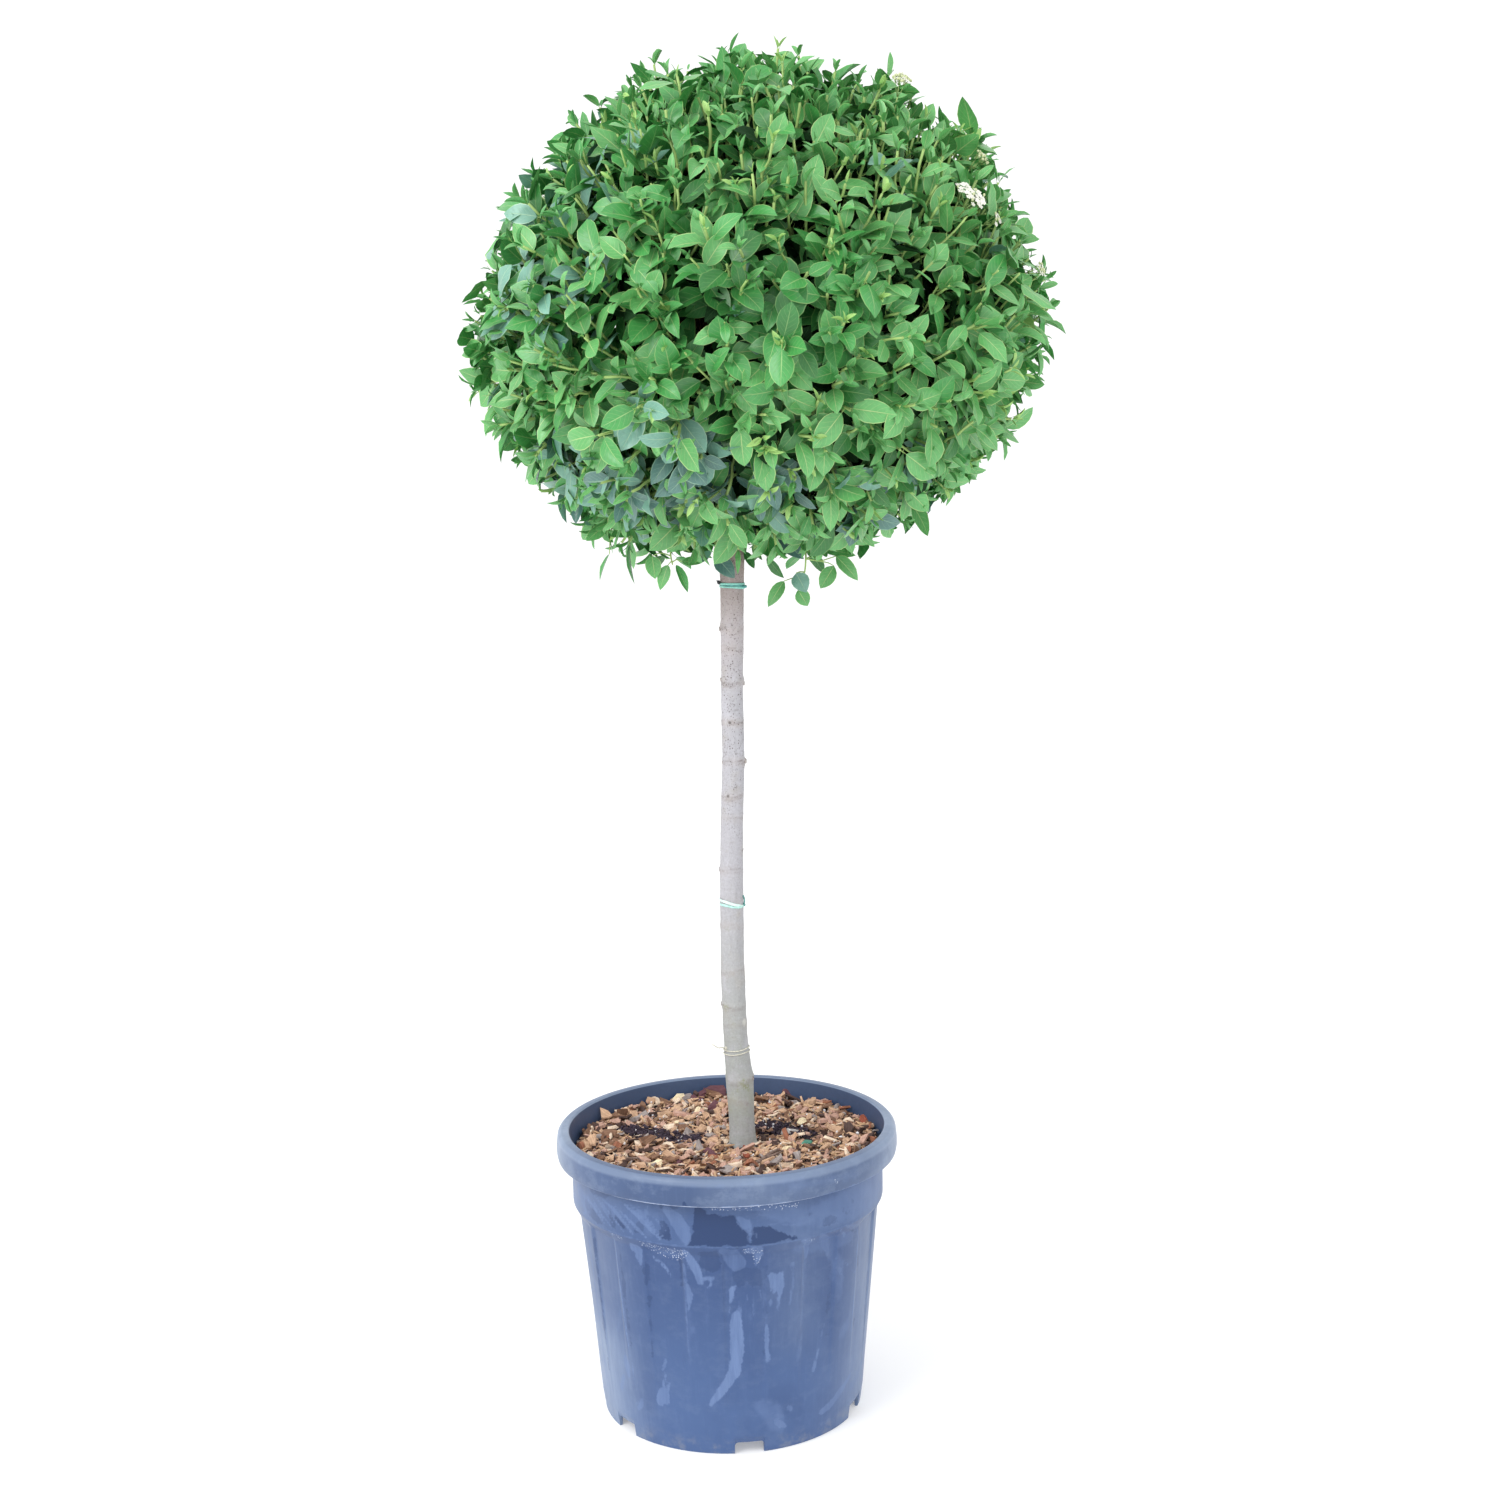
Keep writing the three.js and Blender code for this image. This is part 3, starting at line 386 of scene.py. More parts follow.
# ----------------------------------------------------------------- materials
class Nodes:
    """a short way to wire a material"""

    def __init__(self, name, rough=0.5, specular=0.5, base=(0.5, 0.5, 0.5)):
        self.m = bpy.data.materials.new(name)
        self.m.use_nodes = True
        self.t = self.m.node_tree
        self.bsdf = self.t.nodes["Principled BSDF"]
        self.bsdf.inputs["Roughness"].default_value = rough
        self.bsdf.inputs["Specular IOR Level"].default_value = specular
        self.bsdf.inputs["Base Color"].default_value = (*base, 1)

    def new(self, kind, **values):
        n = self.t.nodes.new(kind)
        for key, value in values.items():
            if hasattr(n, key):
                setattr(n, key, value)
            else:
                self.put(n.inputs[key.replace("_", " ")], value)
        return n

    def put(self, socket, value):
        if isinstance(value, bpy.types.NodeSocket):
            self.t.links.new(value, socket)
        else:
            socket.default_value = value

    def math(self, op, a, b=0.0, c=0.0, clamp=False):
        n = self.t.nodes.new("ShaderNodeMath")
        n.operation, n.use_clamp = op, clamp
        for s, v in zip(n.inputs, (a, b, c)):
            self.put(s, v)
        return n.outputs[0]

    def band(self, value, lo, hi, a=0.0, b=1.0):
        n = self.t.nodes.new("ShaderNodeMapRange")
        n.interpolation_type = "SMOOTHSTEP"
        for s, v in zip(list(n.inputs)[:5], (value, lo, hi, a, b)):
            self.put(s, v)
        return n.outputs[0]

    def mix(self, factor, a, b, how="MIX"):
        n = self.t.nodes.new("ShaderNodeMix")
        n.data_type, n.blend_type = "RGBA", how
        self.put(n.inputs[0], factor)
        self.put(n.inputs[6], a if isinstance(a, bpy.types.NodeSocket) else (*a, 1))
        self.put(n.inputs[7], b if isinstance(b, bpy.types.NodeSocket) else (*b, 1))
        return n.outputs[2]

    def object_coords(self, scale=(1, 1, 1)):
        c = self.new("ShaderNodeTexCoord").outputs["Object"]
        if tuple(scale) == (1, 1, 1):
            return c
        n = self.new("ShaderNodeMapping")
        self.put(n.inputs["Vector"], c)
        n.inputs["Scale"].default_value = scale
        return n.outputs[0]

    def uv(self, name="OFBake"):
        n = self.new("ShaderNodeUVMap")
        n.uv_map = name
        s = self.new("ShaderNodeSeparateXYZ")
        self.put(s.inputs[0], n.outputs[0])
        return n.outputs[0], s.outputs[0], s.outputs[1]

    def noise(self, vector, scale, detail=4.0, rough=0.5, distortion=0.0):
        n = self.new("ShaderNodeTexNoise")
        self.put(n.inputs["Vector"], vector)
        n.inputs["Scale"].default_value = scale
        n.inputs["Detail"].default_value = detail
        n.inputs["Roughness"].default_value = rough
        n.inputs["Distortion"].default_value = distortion
        return n.outputs[0]

    def bump(self, height, strength, distance):
        n = self.new("ShaderNodeBump")
        self.put(n.inputs["Height"], height)
        n.inputs["Strength"].default_value = strength
        n.inputs["Distance"].default_value = distance
        self.put(self.bsdf.inputs["Normal"], n.outputs[0])

    def attribute(self, name):
        n = self.t.nodes.new("ShaderNodeAttribute")
        n.attribute_type, n.attribute_name = "GEOMETRY", name
        return n.outputs["Fac"]

    def near(self, x, y, z, inside, outside):
        """1 close to a point given in millimetres, 0 beyond it"""
        n = self.t.nodes.new("ShaderNodeVectorMath")
        n.operation = "DISTANCE"
        self.put(n.inputs[0], self.object_coords())
        n.inputs[1].default_value = (x * MM, y * MM, z * MM)
        return self.band(n.outputs["Value"], outside * MM, inside * MM)

    def height(self):
        s = self.new("ShaderNodeSeparateXYZ")
        self.put(s.inputs[0], self.object_coords())
        return s.outputs[2]

    def colour(self, value):
        self.put(self.bsdf.inputs["Base Color"], value)

    def rough(self, value):
        self.put(self.bsdf.inputs["Roughness"], value)


def leaf_material(name, base, vein, edge, rough, specular=0.62):
    """a leaf tile: u runs from stalk to tip, v across, with the midrib at 0.5"""
    n = Nodes(name, rough, specular)
    _, u, v = n.uv()
    off = n.math("ABSOLUTE", n.math("SUBTRACT", v, 0.5))          # 0 midrib, 0.5 margin
    rib_half = n.math("MULTIPLY_ADD", u, -0.022, 0.04)
    rib = n.band(n.math("DIVIDE", off, rib_half), 1.0, 0.45)
    # side veins run out and forward from the midrib
    phase = n.math("FRACT", n.math("MULTIPLY", n.math("MULTIPLY_ADD", off, -0.62, u), 6.5))
    line = n.math("ABSOLUTE", n.math("SUBTRACT", phase, 0.5))
    veins = n.math("MULTIPLY", n.band(line, 0.10, 0.0), n.band(off, 0.47, 0.30, 0.0, 0.42))
    mask = n.math("MAXIMUM", rib, veins)
    # pale margin: partly the leaf's own paler edge, partly a painted highlight along its rim
    margin = n.band(off, 0.452, 0.492, 0.0, 0.8)
    c = n.mix(n.band(u, 0.1, 1.0, 0.0, 0.35), base, tuple(min(1.0, x * 1.22 + 0.01) for x in base))
    net = n.noise(n.object_coords(), 330, 3, 0.65)
    spray = n.noise(n.object_coords(), 30, 2, 0.5)
    c = n.mix(n.band(spray, 0.52, 0.68, 0.0, 0.30), c, tuple(x * 0.72 for x in base))
    c = n.mix(n.band(spray, 0.47, 0.33, 0.0, 0.26), c, tuple(min(1.0, x * 1.34 + 0.01) for x in base))
    c = n.mix(n.band(net, 0.5, 0.72, 0.0, 0.34), c, tuple(x * 0.66 for x in base))
    c = n.mix(n.band(net, 0.47, 0.30, 0.0, 0.24), c, tuple(min(1.0, x * 1.35 + 0.01) for x in base))
    c = n.mix(margin, c, edge)
    c = n.mix(n.math("MULTIPLY", mask, 0.8), c, vein)
    n.colour(c)
    n.bump(n.math("MULTIPLY_ADD", net, -0.35, n.math("SUBTRACT", 1.0, mask)), 0.5, 0.0006)
    return n.m


def plain(name, base, rough, specular=0.4, vary=0.18, scale=90.0, bump=0.0, stretch=(1, 1, 1)):
    n = Nodes(name, rough, specular)
    f = n.noise(n.object_coords(stretch), scale, 3.0, 0.6)
    dark = tuple(x * (1 - vary) for x in base)
    light = tuple(min(1, x * (1 + vary)) for x in base)
    n.colour(n.mix(n.band(f, 0.3, 0.7), dark, light))
    if bump:
        n.bump(f, 0.5, bump)
    return n.m


# ------------------------------------------------------- camera, light, floor
def camera():
    pitch, yaw, roll = 0.123145, 0.017168, -0.023177
    loc = Vector((0.0, -2.2, 1.04758))
    fw = Vector((math.sin(yaw) * math.cos(pitch), math.cos(yaw) * math.cos(pitch), -math.sin(pitch)))
    r = Vector((math.cos(yaw), -math.sin(yaw), 0))
    u = r.cross(fw)
    r2 = r * math.cos(roll) + u * math.sin(roll)
    u2 = u * math.cos(roll) - r * math.sin(roll)
    cam = bpy.data.cameras.new("photo_angle")
    cam.sensor_width, cam.lens = 36.0, 46.251
    cam.clip_start, cam.clip_end = 0.05, 200
    ob = bpy.data.objects.new("photo_angle", cam)
    bpy.context.scene.collection.objects.link(ob)
    ob.matrix_world = Matrix((
        (r2.x, u2.x, -fw.x, loc.x), (r2.y, u2.y, -fw.y, loc.y), (r2.z, u2.z, -fw.z, loc.z), (0, 0, 0, 1)))
    bpy.context.scene.camera = ob


def area(name, loc, aim, size, power, colour=(1, 1, 1)):
    light = bpy.data.lights.new(name, "AREA")
    light.shape, light.size, light.energy, light.color = "DISK", size, power, colour
    ob = bpy.data.objects.new(name, light)
    ob.matrix_world = Matrix.Translation(Vector(loc)) @ (Vector(aim) - Vector(loc)).to_track_quat("-Z", "Y").to_matrix().to_4x4()
    bpy.context.scene.collection.objects.link(ob)


def studio():
    scene = bpy.context.scene
    world = bpy.data.worlds.new("studio")
    scene.world = world
    world.use_nodes = True
    world.node_tree.nodes["Background"].inputs[0].default_value = (1.0, 1.0, 1.0, 1)
    world.node_tree.nodes["Background"].inputs[1].default_value = 1.12
    scene.view_settings.view_transform = "Standard"
    scene.view_settings.look = "None"
    area("key", (-2.3, -2.1, 3.1), (0.05, 0, 1.0), 2.4, 82, (1.0, 0.99, 0.97))
    area("fill", (1.5, -3.0, 0.9), (0.05, 0, 0.9), 2.4, 12, (0.95, 0.98, 1.0))
    s = Soup()
    s.add([[-30000, -30000, 0], [30000, -30000, 0], [30000, 30000, 0], [-30000, 30000, 0]], [[[0, 1, 2, 3]]])
    n = Nodes("floor_paper", 0.9, 0.0, (0.78, 0.78, 0.78))
    n.bsdf.inputs["Emission Color"].default_value = (1.0, 1.0, 1.0, 1)
    n.bsdf.inputs["Emission Strength"].default_value = 0.30
    floor = s.build("floor", n.m, False, with_uv=False)
    floor.location.z = -0.0002


# ------------------------------------------------------------------- foliage
LEAF_U = np.array([0.0, .06, .18, .34, .52, .70, .86, 1.0])
LEAF_OVATE = np.array([0.0, .42, .85, 1.0, .93, .70, .37, 0.0])
LEAF_OVAL = np.array([0.0, .31, .70, .95, 1.0, .86, .51, 0.0])
LOW_U = np.array([0.0, .12, .35, .62, .85, 1.0])


def leaves(base, axis, face, length, width, fold, bend, curl, wave, twist, oval, low=False):
    """K leaf blades. base, axis, face (K,3); the rest (K,). Returns verts, faces, uv"""
    k = len(base)
    us = LOW_U if low else LEAF_U
    cols = np.array([-1, 0, 1.0]) if low else np.array([-1, -0.55, 0, 0.55, 1.0])
    prof = ((1 - oval)[:, None] * np.interp(us, LEAF_U, LEAF_OVATE)[None]
            + oval[:, None] * np.interp(us, LEAF_U, LEAF_OVAL)[None])
    d = unit(axis)
    nrm = unit(face - dot(face, d) * d)
    s = np.cross(d, nrm)
    theta = -bend[:, None] * us[None] ** 1.3
    mid = (theta[:, 1:] + theta[:, :-1]) / 2
    step = (us[1:] - us[:-1])[None] * length[:, None]
    inc = (np.cos(mid) * step)[..., None] * d[:, None] + (np.sin(mid) * step)[..., None] * nrm[:, None]
    line = np.concatenate([np.zeros((k, 1, 3)), np.cumsum(inc, 1)], 1) + base[:, None]
    n1 = np.cos(theta)[..., None] * nrm[:, None] - np.sin(theta)[..., None] * d[:, None]
    tw = twist[:, None] * us[None]
    s1 = np.cos(tw)[..., None] * s[:, None] + np.sin(tw)[..., None] * n1
    n2 = np.cos(tw)[..., None] * n1 - np.sin(tw)[..., None] * s[:, None]
    half = (width / 2)[:, None] * prof                                   # (K,R)
    c = cols[None, None]
    hw = half[:, :, None]
    fo = fold[:, None, None]
    side = c * hw * np.cos(fo)
    ph = (base[:, 0] * 7.3 + base[:, 2] * 3.1)[:, None, None]
    lift = np.abs(c) * hw * np.sin(fo) - curl[:, None, None] * hw * c ** 2 \
        + wave[:, None, None] * hw * np.abs(c) ** 1.5 * np.sin(us[None, :, None] * 10.5 + ph + np.sign(c) * 1.1)
    v = line[:, :, None] + s1[:, :, None] * side[..., None] + n2[:, :, None] * lift[..., None]
    r, q = len(us), len(cols)
    # one vertex at the stalk and one at the tip
    verts = np.concatenate([line[:, :1], v[:, 1:-1].reshape(k, -1, 3), line[:, -1:]], 1)
    n = verts.shape[1]
    rows = np.arange(r - 3)[:, None]
    cc = np.arange(q - 1)[None]
    a = 1 + rows * q + cc
    quad = np.stack([a, a + 1, a + 1 + q, a + q], -1).reshape(-1, 4)
    cc = np.arange(q - 1)
    t0 = np.stack([np.zeros(q - 1, int), 1 + cc + 1, 1 + cc], -1)
    last = 1 + (r - 3) * q
    t1 = np.stack([last + cc, last + cc + 1, np.full(q - 1, n - 1)], -1)
    off = (np.arange(k) * n)[:, None, None]
    # the upper surface faces along the normal
    faces = [(quad[None] + off).reshape(-1, 4), (np.concatenate([t0, t1])[None] + off).reshape(-1, 3)]
    uv = np.zeros((n, 2))
    uv[0], uv[-1] = (0, .5), (1, .5)
    uv[1:-1, 0] = np.repeat(us[1:-1], q)
    uv[1:-1, 1] = np.tile((cols + 1) / 2, r - 2)
    return verts.reshape(-1, 3), faces, np.tile(uv, (k, 1))


def stalks(foot, tip, face, radius):
    """leaf stalks: slim three-sided spikes"""
    k = len(foot)
    d = unit(tip - foot)
    n = unit(face - dot(face, d) * d)
    s = np.cross(d, n)
    r = radius[:, None]
    mid = (foot + tip) / 2 - n * r * 0.8
    v = np.stack([foot + s * r, foot - s * r * 0.9, foot - n * r * 1.1, mid + s * r * 0.72, mid - s * r * 0.72, mid - n * r * 0.9, tip], 1)
    quad = np.array([[0, 1, 4, 3], [1, 2, 5, 4], [2, 0, 3, 5]])
    tri = np.array([[0, 2, 1], [3, 4, 6], [4, 5, 6], [5, 3, 6]])
    off = (np.arange(k) * 7)[:, None, None]
    return v.reshape(-1, 3), [(quad[None] + off).reshape(-1, 4), (tri[None] + off).reshape(-1, 3)]


def crown_surface():
    """distance from the middle of the crown to the clipped surface, in any direction"""
    ob = nodes["crown_foliage"]
    tree = BVHTree.FromPolygons([v.co[:] for v in ob.data.vertices], [p.vertices[:] for p in ob.data.polygons])
    lo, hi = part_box("crown_foliage")
    c = (lo + hi) / 2
    centre = np.array([c.x, c.y, c.z - 0.015]) / MM

    def reach(d):
        out = np.zeros(len(d))
        o = Vector(centre * MM)
        for i, x in enumerate(d):
            x = Vector(x)
            hit = tree.ray_cast(o + x * 0.8, -x, 0.8)
            out[i] = 0.0 if hit[0] is None else (hit[0] - o).length / MM
        return out
    return centre, reach


LEAF_KINDS = ["deep", "mid", "fresh", "lime", "blue_sheen", "olive", "sky_sheen", "shade"]
rng = np.random.default_rng(SEED)


def grow():
    """the whole head: limbs, twigs, shoots and leaves, from the fork outwards"""
    centre, reach = crown_surface()
    out = {}
    # -- shoot tips over the clipped surface
    i = np.arange(SHOOTS) + 0.5
    up = 1 - 2 * i / SHOOTS
    az = i * 2.399963 + rng.normal(0, 0.10, SHOOTS)
    up = np.clip(up + rng.normal(0, 0.018, SHOOTS), -0.995, 0.999)
    flat = np.sqrt(1 - up ** 2)
    d = np.stack([flat * np.cos(az), flat * np.sin(az), up], -1)
    r = reach(d)
    # no shoots in the hollow round the fork
    tip = centre + d * r[:, None]
    ring = np.hypot(tip[:, 0] - 22, tip[:, 1])
    keep = (r > 60) & ~((tip[:, 2] < 1120) & (ring < 74))
    d, r = d[keep], r[keep]
    n = len(d)
    el = np.degrees(np.arcsin(d[:, 2]))
    rise = np.interp(el, [-80, -45, -20, 5, 40, 90], [-0.3, -0.02, 0.25, 0.55, 0.95, 0.4])
    g = unit(d + rise[:, None] * Z + rng.normal(0, 0.2, (n, 3)))
    inset = rng.uniform(8, 33, n)
    proud = rng.random(n) < np.interp(el, [-60, 0, 60], [0.02, 0.06, 0.16])
    inset[proud] = rng.uniform(-4, 6, proud.sum())
    # where the outline draws in a little, seen from the front
    way = np.degrees(np.arctan2(d[:, 2], d[:, 0]))
    draw = np.interp(way, [-180, -152, -135, -110, -80, -62, -45, -25, 0, 30, 60, 90, 110, 135, 155, 180],
                     [2, 8, 8, 2, 5, 15, 17, 11, 3, 4, 3, 6, 3, 8, 8, 2])
    inset += draw * smooth(1 - np.abs(d[:, 1]), 0.2, 0.8) + 7 * smooth(np.abs(d[:, 1]), 0.7, 0.95)
    tip = centre + d * (r - inset)[:, None]
    tip[:, 2] = np.maximum(tip[:, 2], 1002)
    # -- twigs, limbs and boughs by clustering the bases
    base = tip - g * rng.uniform(80, 115, n)[:, None]
    lab, mean = cluster(base, TWIGS, rng)
    inward = unit(mean - centre)
    twig = mean - inward * 16
    twig[:, 2] = np.maximum(twig[:, 2], 1035)
    lab2, mean2 = cluster(twig, LIMBS, rng)
    fork = stem_at(1046.0)
    limb = fork + (mean2 - fork) * 0.56 + np.array([0, 0, -6.0])
    # -- boughs as in the CAD part, each grown on into the mass
    starts, dirs, ends = [], [], []
    for _, a, e, z0, _ in BOUGHS:
        s = stem_at(float(z0))

        def way(x):
            return np.array([math.cos(x * RAD) * math.cos(a * RAD), math.cos(x * RAD) * math.sin(a * RAD), math.sin(x * RAD)])
        starts.append(s)
        dirs.append(way(min(86, e + 10)))
        ends.append(s + way(e) * 30 + way(min(86, e + 10)) * 82)
    ends, dirs = np.array(ends), np.array(dirs)
    to = unit(limb[:, None] - np.array(starts)[None])
    bough_of = (to * dirs[None]).sum(-1).argmax(1)

    wood, young, petioles = Soup(), Soup(), Soup()
    # limbs leave the bough's tip
    p0 = ends[bough_of]
    p3 = limb
    span = np.linalg.norm(p3 - p0, axis=1)[:, None]
    path = bezier(p0 - dirs[bough_of] * 4, p0 + dirs[bough_of] * span * 0.35,
                  p3 - unit(p3 - centre + 40 * Z) * span * 0.3, p3, 9)
    wood.add(*tube(path, np.linspace(4.6, 3.3, 9)[None].repeat(len(path), 0), 8))
    # twigs leave the limbs
    q0, q3 = limb[lab2], twig
    span = np.linalg.norm(q3 - q0, axis=1)[:, None]
    path = bezier(q0, q0 + unit(q0 - fork) * span * 0.35 + rng.normal(0, 4, q0.shape), q3 - unit(q3 - centre) * span * 0.35, q3, 8)
    wood.add(*tube(path, np.linspace(3.2, 1.9, 8)[None].repeat(len(path), 0), 6))
    # shoots leave the twigs
    s0, s3 = twig[lab], tip
    span = np.linalg.norm(s3 - s0, axis=1)[:, None]
    m = 11
    path = bezier(s0, s0 + unit(s0 - centre + 0.25 * (s3 - s0)) * span * 0.30, s3 - g * span * 0.42, s3, m)
    path[:, 2:-1] += rng.normal(0, 1.1, (n, m - 3, 3))
    rad = np.linspace(2.0, 1.45, m)[None] * rng.uniform(0.86, 1.16, n)[:, None]
    cut = 2                                                   # brown below, green above
    wood.add(*tube(path[:, :cut + 1], rad[:, :cut + 1], 4))
    young.add(*tube(path[:, cut:], rad[:, cut:] * 0.98, 4))

    # -- leaves in opposite pairs, each pair across the last
    seg = np.linalg.norm(np.diff(path, axis=1), axis=-1)
    back = np.concatenate([np.cumsum(seg[:, ::-1], 1)[:, ::-1], np.zeros((n, 1))], 1)      # distance to the tip
    clipped = rng.random(n) < np.interp(el, [-40, 10, 60], [0.12, 0.3, 0.34])
    pairs = 5
    gap0 = np.where(clipped, rng.uniform(4, 12, n), rng.uniform(0.5, 3, n))
    bare = clipped & (rng.random(n) < np.interp(el, [0, 30, 70], [0.1, 0.35, 0.5]))
    gap0[bare] = rng.uniform(12, 26, bare.sum())
    gaps = rng.uniform(15, 29, (n, pairs - 1)) * np.interp(el, [-40, 20, 70], [0.85, 1.0, 1.12])[:, None]
    at = np.concatenate([gap0[:, None], gap0[:, None] + np.cumsum(gaps, 1)], 1)
    ref = unit(np.cross(g, unit(rng.normal(0, 1, (n, 3)))))
    rec = {k: [] for k in ("base", "axis", "face", "len", "order", "shoot", "node")}
    roll0 = rng.uniform(0, math.pi, n)
    for j in range(pairs):
        pos = np.empty((n, 3))
        pos2 = np.empty((n, 3))
        for q in range(n):
            for c in range(3):
                pos[q, c] = np.interp(at[q, j], back[q, ::-1], path[q, ::-1, c])
                pos2[q, c] = np.interp(at[q, j] + 4, back[q, ::-1], path[q, ::-1, c])
        t = unit(pos - pos2)
        a1 = unit(ref - dot(ref, t) * t)
        a2 = np.cross(t, a1)
        phi = roll0 + j * math.pi / 2 + rng.normal(0, 0.16, n)
        e = a1 * np.cos(phi)[:, None] + a2 * np.sin(phi)[:, None]
        for sgn in (1, -1):
            first = (j == 0) & ~clipped
            ang = np.where(first, rng.uniform(16, 44, n),
                           np.where((j == 1) & ~clipped, rng.uniform(36, 62, n), rng.uniform(50, 84, n))) * RAD
            ln = np.where(first, rng.uniform(13.7, 25, n),
                          np.where((j == 1) & ~clipped, rng.uniform(28, 43, n), rng.normal(37.5, 6.6, n)))
            ok = rng.random(n) < (0.97 if j < 2 else 0.9 if j < 4 else 0.75)
            ok &= at[:, j] < back[:, 0] - 6
            if j:
                ang = ang * np.interp(el, [-10, 25, 70], [1.0, 0.84, 0.74])
            side = e * sgn
            axis = t * np.cos(ang)[:, None] + side * np.sin(ang)[:, None]
            face = t * np.sin(ang)[:, None] - side * np.cos(ang)[:, None]
            outward = d * np.array([1.0, 1.0, 0.0]) + Z * d[:, 2:] * np.interp(el, [-70, -20, 0], [0.1, 0.45, 1.0])[:, None]
            # the low sides turn towards the light at the front
            turn = 0.55 * smooth(np.abs(d[:, 0]), 0.35, 0.7) * smooth(-el, -8, 12) * smooth(-d[:, 1], -0.5, -0.1)
            light = unit(unit(outward) * 0.85 + Z * np.interp(el, [-60, 0, 30, 60], [0.1, 0.5, 0.35, 0.2])[:, None]
                         + np.array([0.0, -1.0, 0.0]) * turn[:, None] + rng.normal(0, 0.48, (n, 3)))
            pull = np.where(first, 0.1, 0.66)[:, None]
            face = unit(face + light * pull)
            droop = np.interp(el, [-70, -30, 10, 40], [0.36, 0.26, 0.16, 0.02]) * np.where(first, 0.1, 1) * rng.uniform(0.2, 1.6, n)
            axis = unit(axis - Z * droop[:, None] + rng.normal(0, 0.13, (n, 3)))
            for key, val in (("base", pos), ("axis", axis), ("face", face), ("len", np.clip(ln, 11, 47)),
                             ("order", np.full(n, j) + clipped * 1), ("shoot", np.arange(n)), ("node", pos)):
                rec[key].append(val[ok])
    # a closed pair of small leaves ends most shoots
    for sgn in (1, -1):
        ok = rng.random(n) < 0.8
        ang = rng.uniform(7, 22, n) * RAD
        side = unit(np.cross(g, ref)) * sgn
        rec["base"].append(tip[ok])
        rec["axis"].append(unit(g * np.cos(ang)[:, None] + side * np.sin(ang)[:, None] + rng.normal(0, 0.06, (n, 3)))[ok])
        rec["face"].append((g * np.sin(ang)[:, None] - side * np.cos(ang)[:, None])[ok])
        rec["len"].append(rng.uniform(6, 13.5, n)[ok])
        rec["order"].append(np.zeros(ok.sum()))
        rec["shoot"].append(np.arange(n)[ok])
        rec["node"].append(tip[ok])
    L = {k: np.concatenate(v) for k, v in rec.items()}
    k = len(L["len"])
    axis = L["axis"]
    face = unit(L["face"] - dot(L["face"], axis) * axis)
    stalk = L["len"] * rng.uniform(0.13, 0.2, k)
    start = L["node"] + axis * stalk[:, None]
    # petioles
    depth = (r[L["shoot"]] - np.linalg.norm(start - centre, axis=1))
    q = (L["len"] > 13.6) & (depth < 95)
    petioles.add(*stalks(L["node"][q], (start + axis * 2.0)[q], face[q], 0.85 * np.clip(L["len"][q] / 40, 0.6, 1.15)))
    width = L["len"] * np.clip(rng.normal(0.59, 0.06, k), 0.44, 0.74) * np.where(L["len"] < 13.6, 0.58, np.where(L["order"] == 0, 0.8, 1.0))
    fold = np.clip(rng.normal(18, 9.5, k), -2, 44) * RAD
    fold = np.where(L["order"] == 0, fold + 24 * RAD, fold)
    bend = np.clip(rng.normal(0.45, 0.32, k), -0.25, 1.35)
    curl = np.clip(rng.normal(0.10, 0.12, k), -0.1, 0.4)
    wave = np.abs(rng.normal(0.0, 0.085, k))
    twist = rng.normal(0, 0.28, k)
    oval = rng.random(k)
    # nothing far outside the ball
    far = start + axis * L["len"][:, None]
    lo, hi = np.array(cad_lo) / MM - 12, np.array(cad_hi) / MM + 12
    fits = ((far > lo) & (far < hi))[:, [0, 1]].all(1) & (far[:, 2] < cad_hi[2] / MM + 14)
    # colours by spray: the newest pair is palest, the oldest leaves deepest
    o = L["order"]
    sh = L["shoot"]
    mood = rng.random(n)[sh]
    x = rng.random(k)
    kind = np.ones(k, int)
    kind[(o == 0)] = np.where(mood[o == 0] > 0.78, 3, 2)
    sel = o == 1
    kind[sel] = np.where(mood[sel] > 0.97, 3, np.where(mood[sel] > 0.42, 2, 1))
    sel = o == 2
    kind[sel] = np.where(mood[sel] > 0.80, 2, np.where(x[sel] < 0.22, 0, 1))
    sel = o == 3
    kind[sel] = np.where(x[sel] < 0.45, 0, np.where(x[sel] > 0.92, 5, 1))
    sel = o >= 4
    kind[sel] = np.where(x[sel] < 0.75, 0, 1)
    kind[(kind == 3) & (L["len"] > 27)] = 2
    # painted light and shade dealt out by place: the low sprays and those high on the right are paler, those in the
    # middle deeper, low on the right some of each, and on the left and at the top the extremes are evened out
    kind[(o >= 1) & (o <= 3) & (kind <= 1) & (el[sh] < -8) & (mood < 0.34)] = 2
    place_x = (np.where(tip[:, 1] < 40, 1.0, -1.0) * (tip[:, 0] - 18) + 18)[sh]
    place_z = tip[sh, 2]
    luck = rng.random(k)
    kind[(kind <= 1) & (o <= 3) & (place_x > 90) & (place_z > 1290) & (luck < 0.72)] = 2
    kind[(kind <= 1) & (o <= 3) & (place_x > 200) & (luck < 0.28)] = 2
    left = place_x < -70
    kind[left & (kind == 0) & (luck < 0.75)] = 1
    kind[left & (kind == 2) & (o >= 1) & (luck > np.where(place_z > 1300, 0.56, 0.80))] = 1
    kind[left & (kind == 3) & (luck > 0.45)] = 2
    kind[left & (place_z > 1300) & (kind == 2) & (luck > 0.52)] = 1
    right = (place_x > 60) & (place_x < 230) & (place_z < 1240)
    kind[right & (kind <= 2) & (o >= 1) & (luck > 0.88)] = 0
    kind[right & (kind == 1) & (o <= 2) & (luck < 0.14)] = 2
    kind[(place_z > 1430) & (place_x < 170) & (kind == 2) & (o >= 1) & (luck > 0.56)] = 1
    kind[(place_z > 1340) & (kind == 1) & (o >= 1) & (luck > 0.82)] = 0
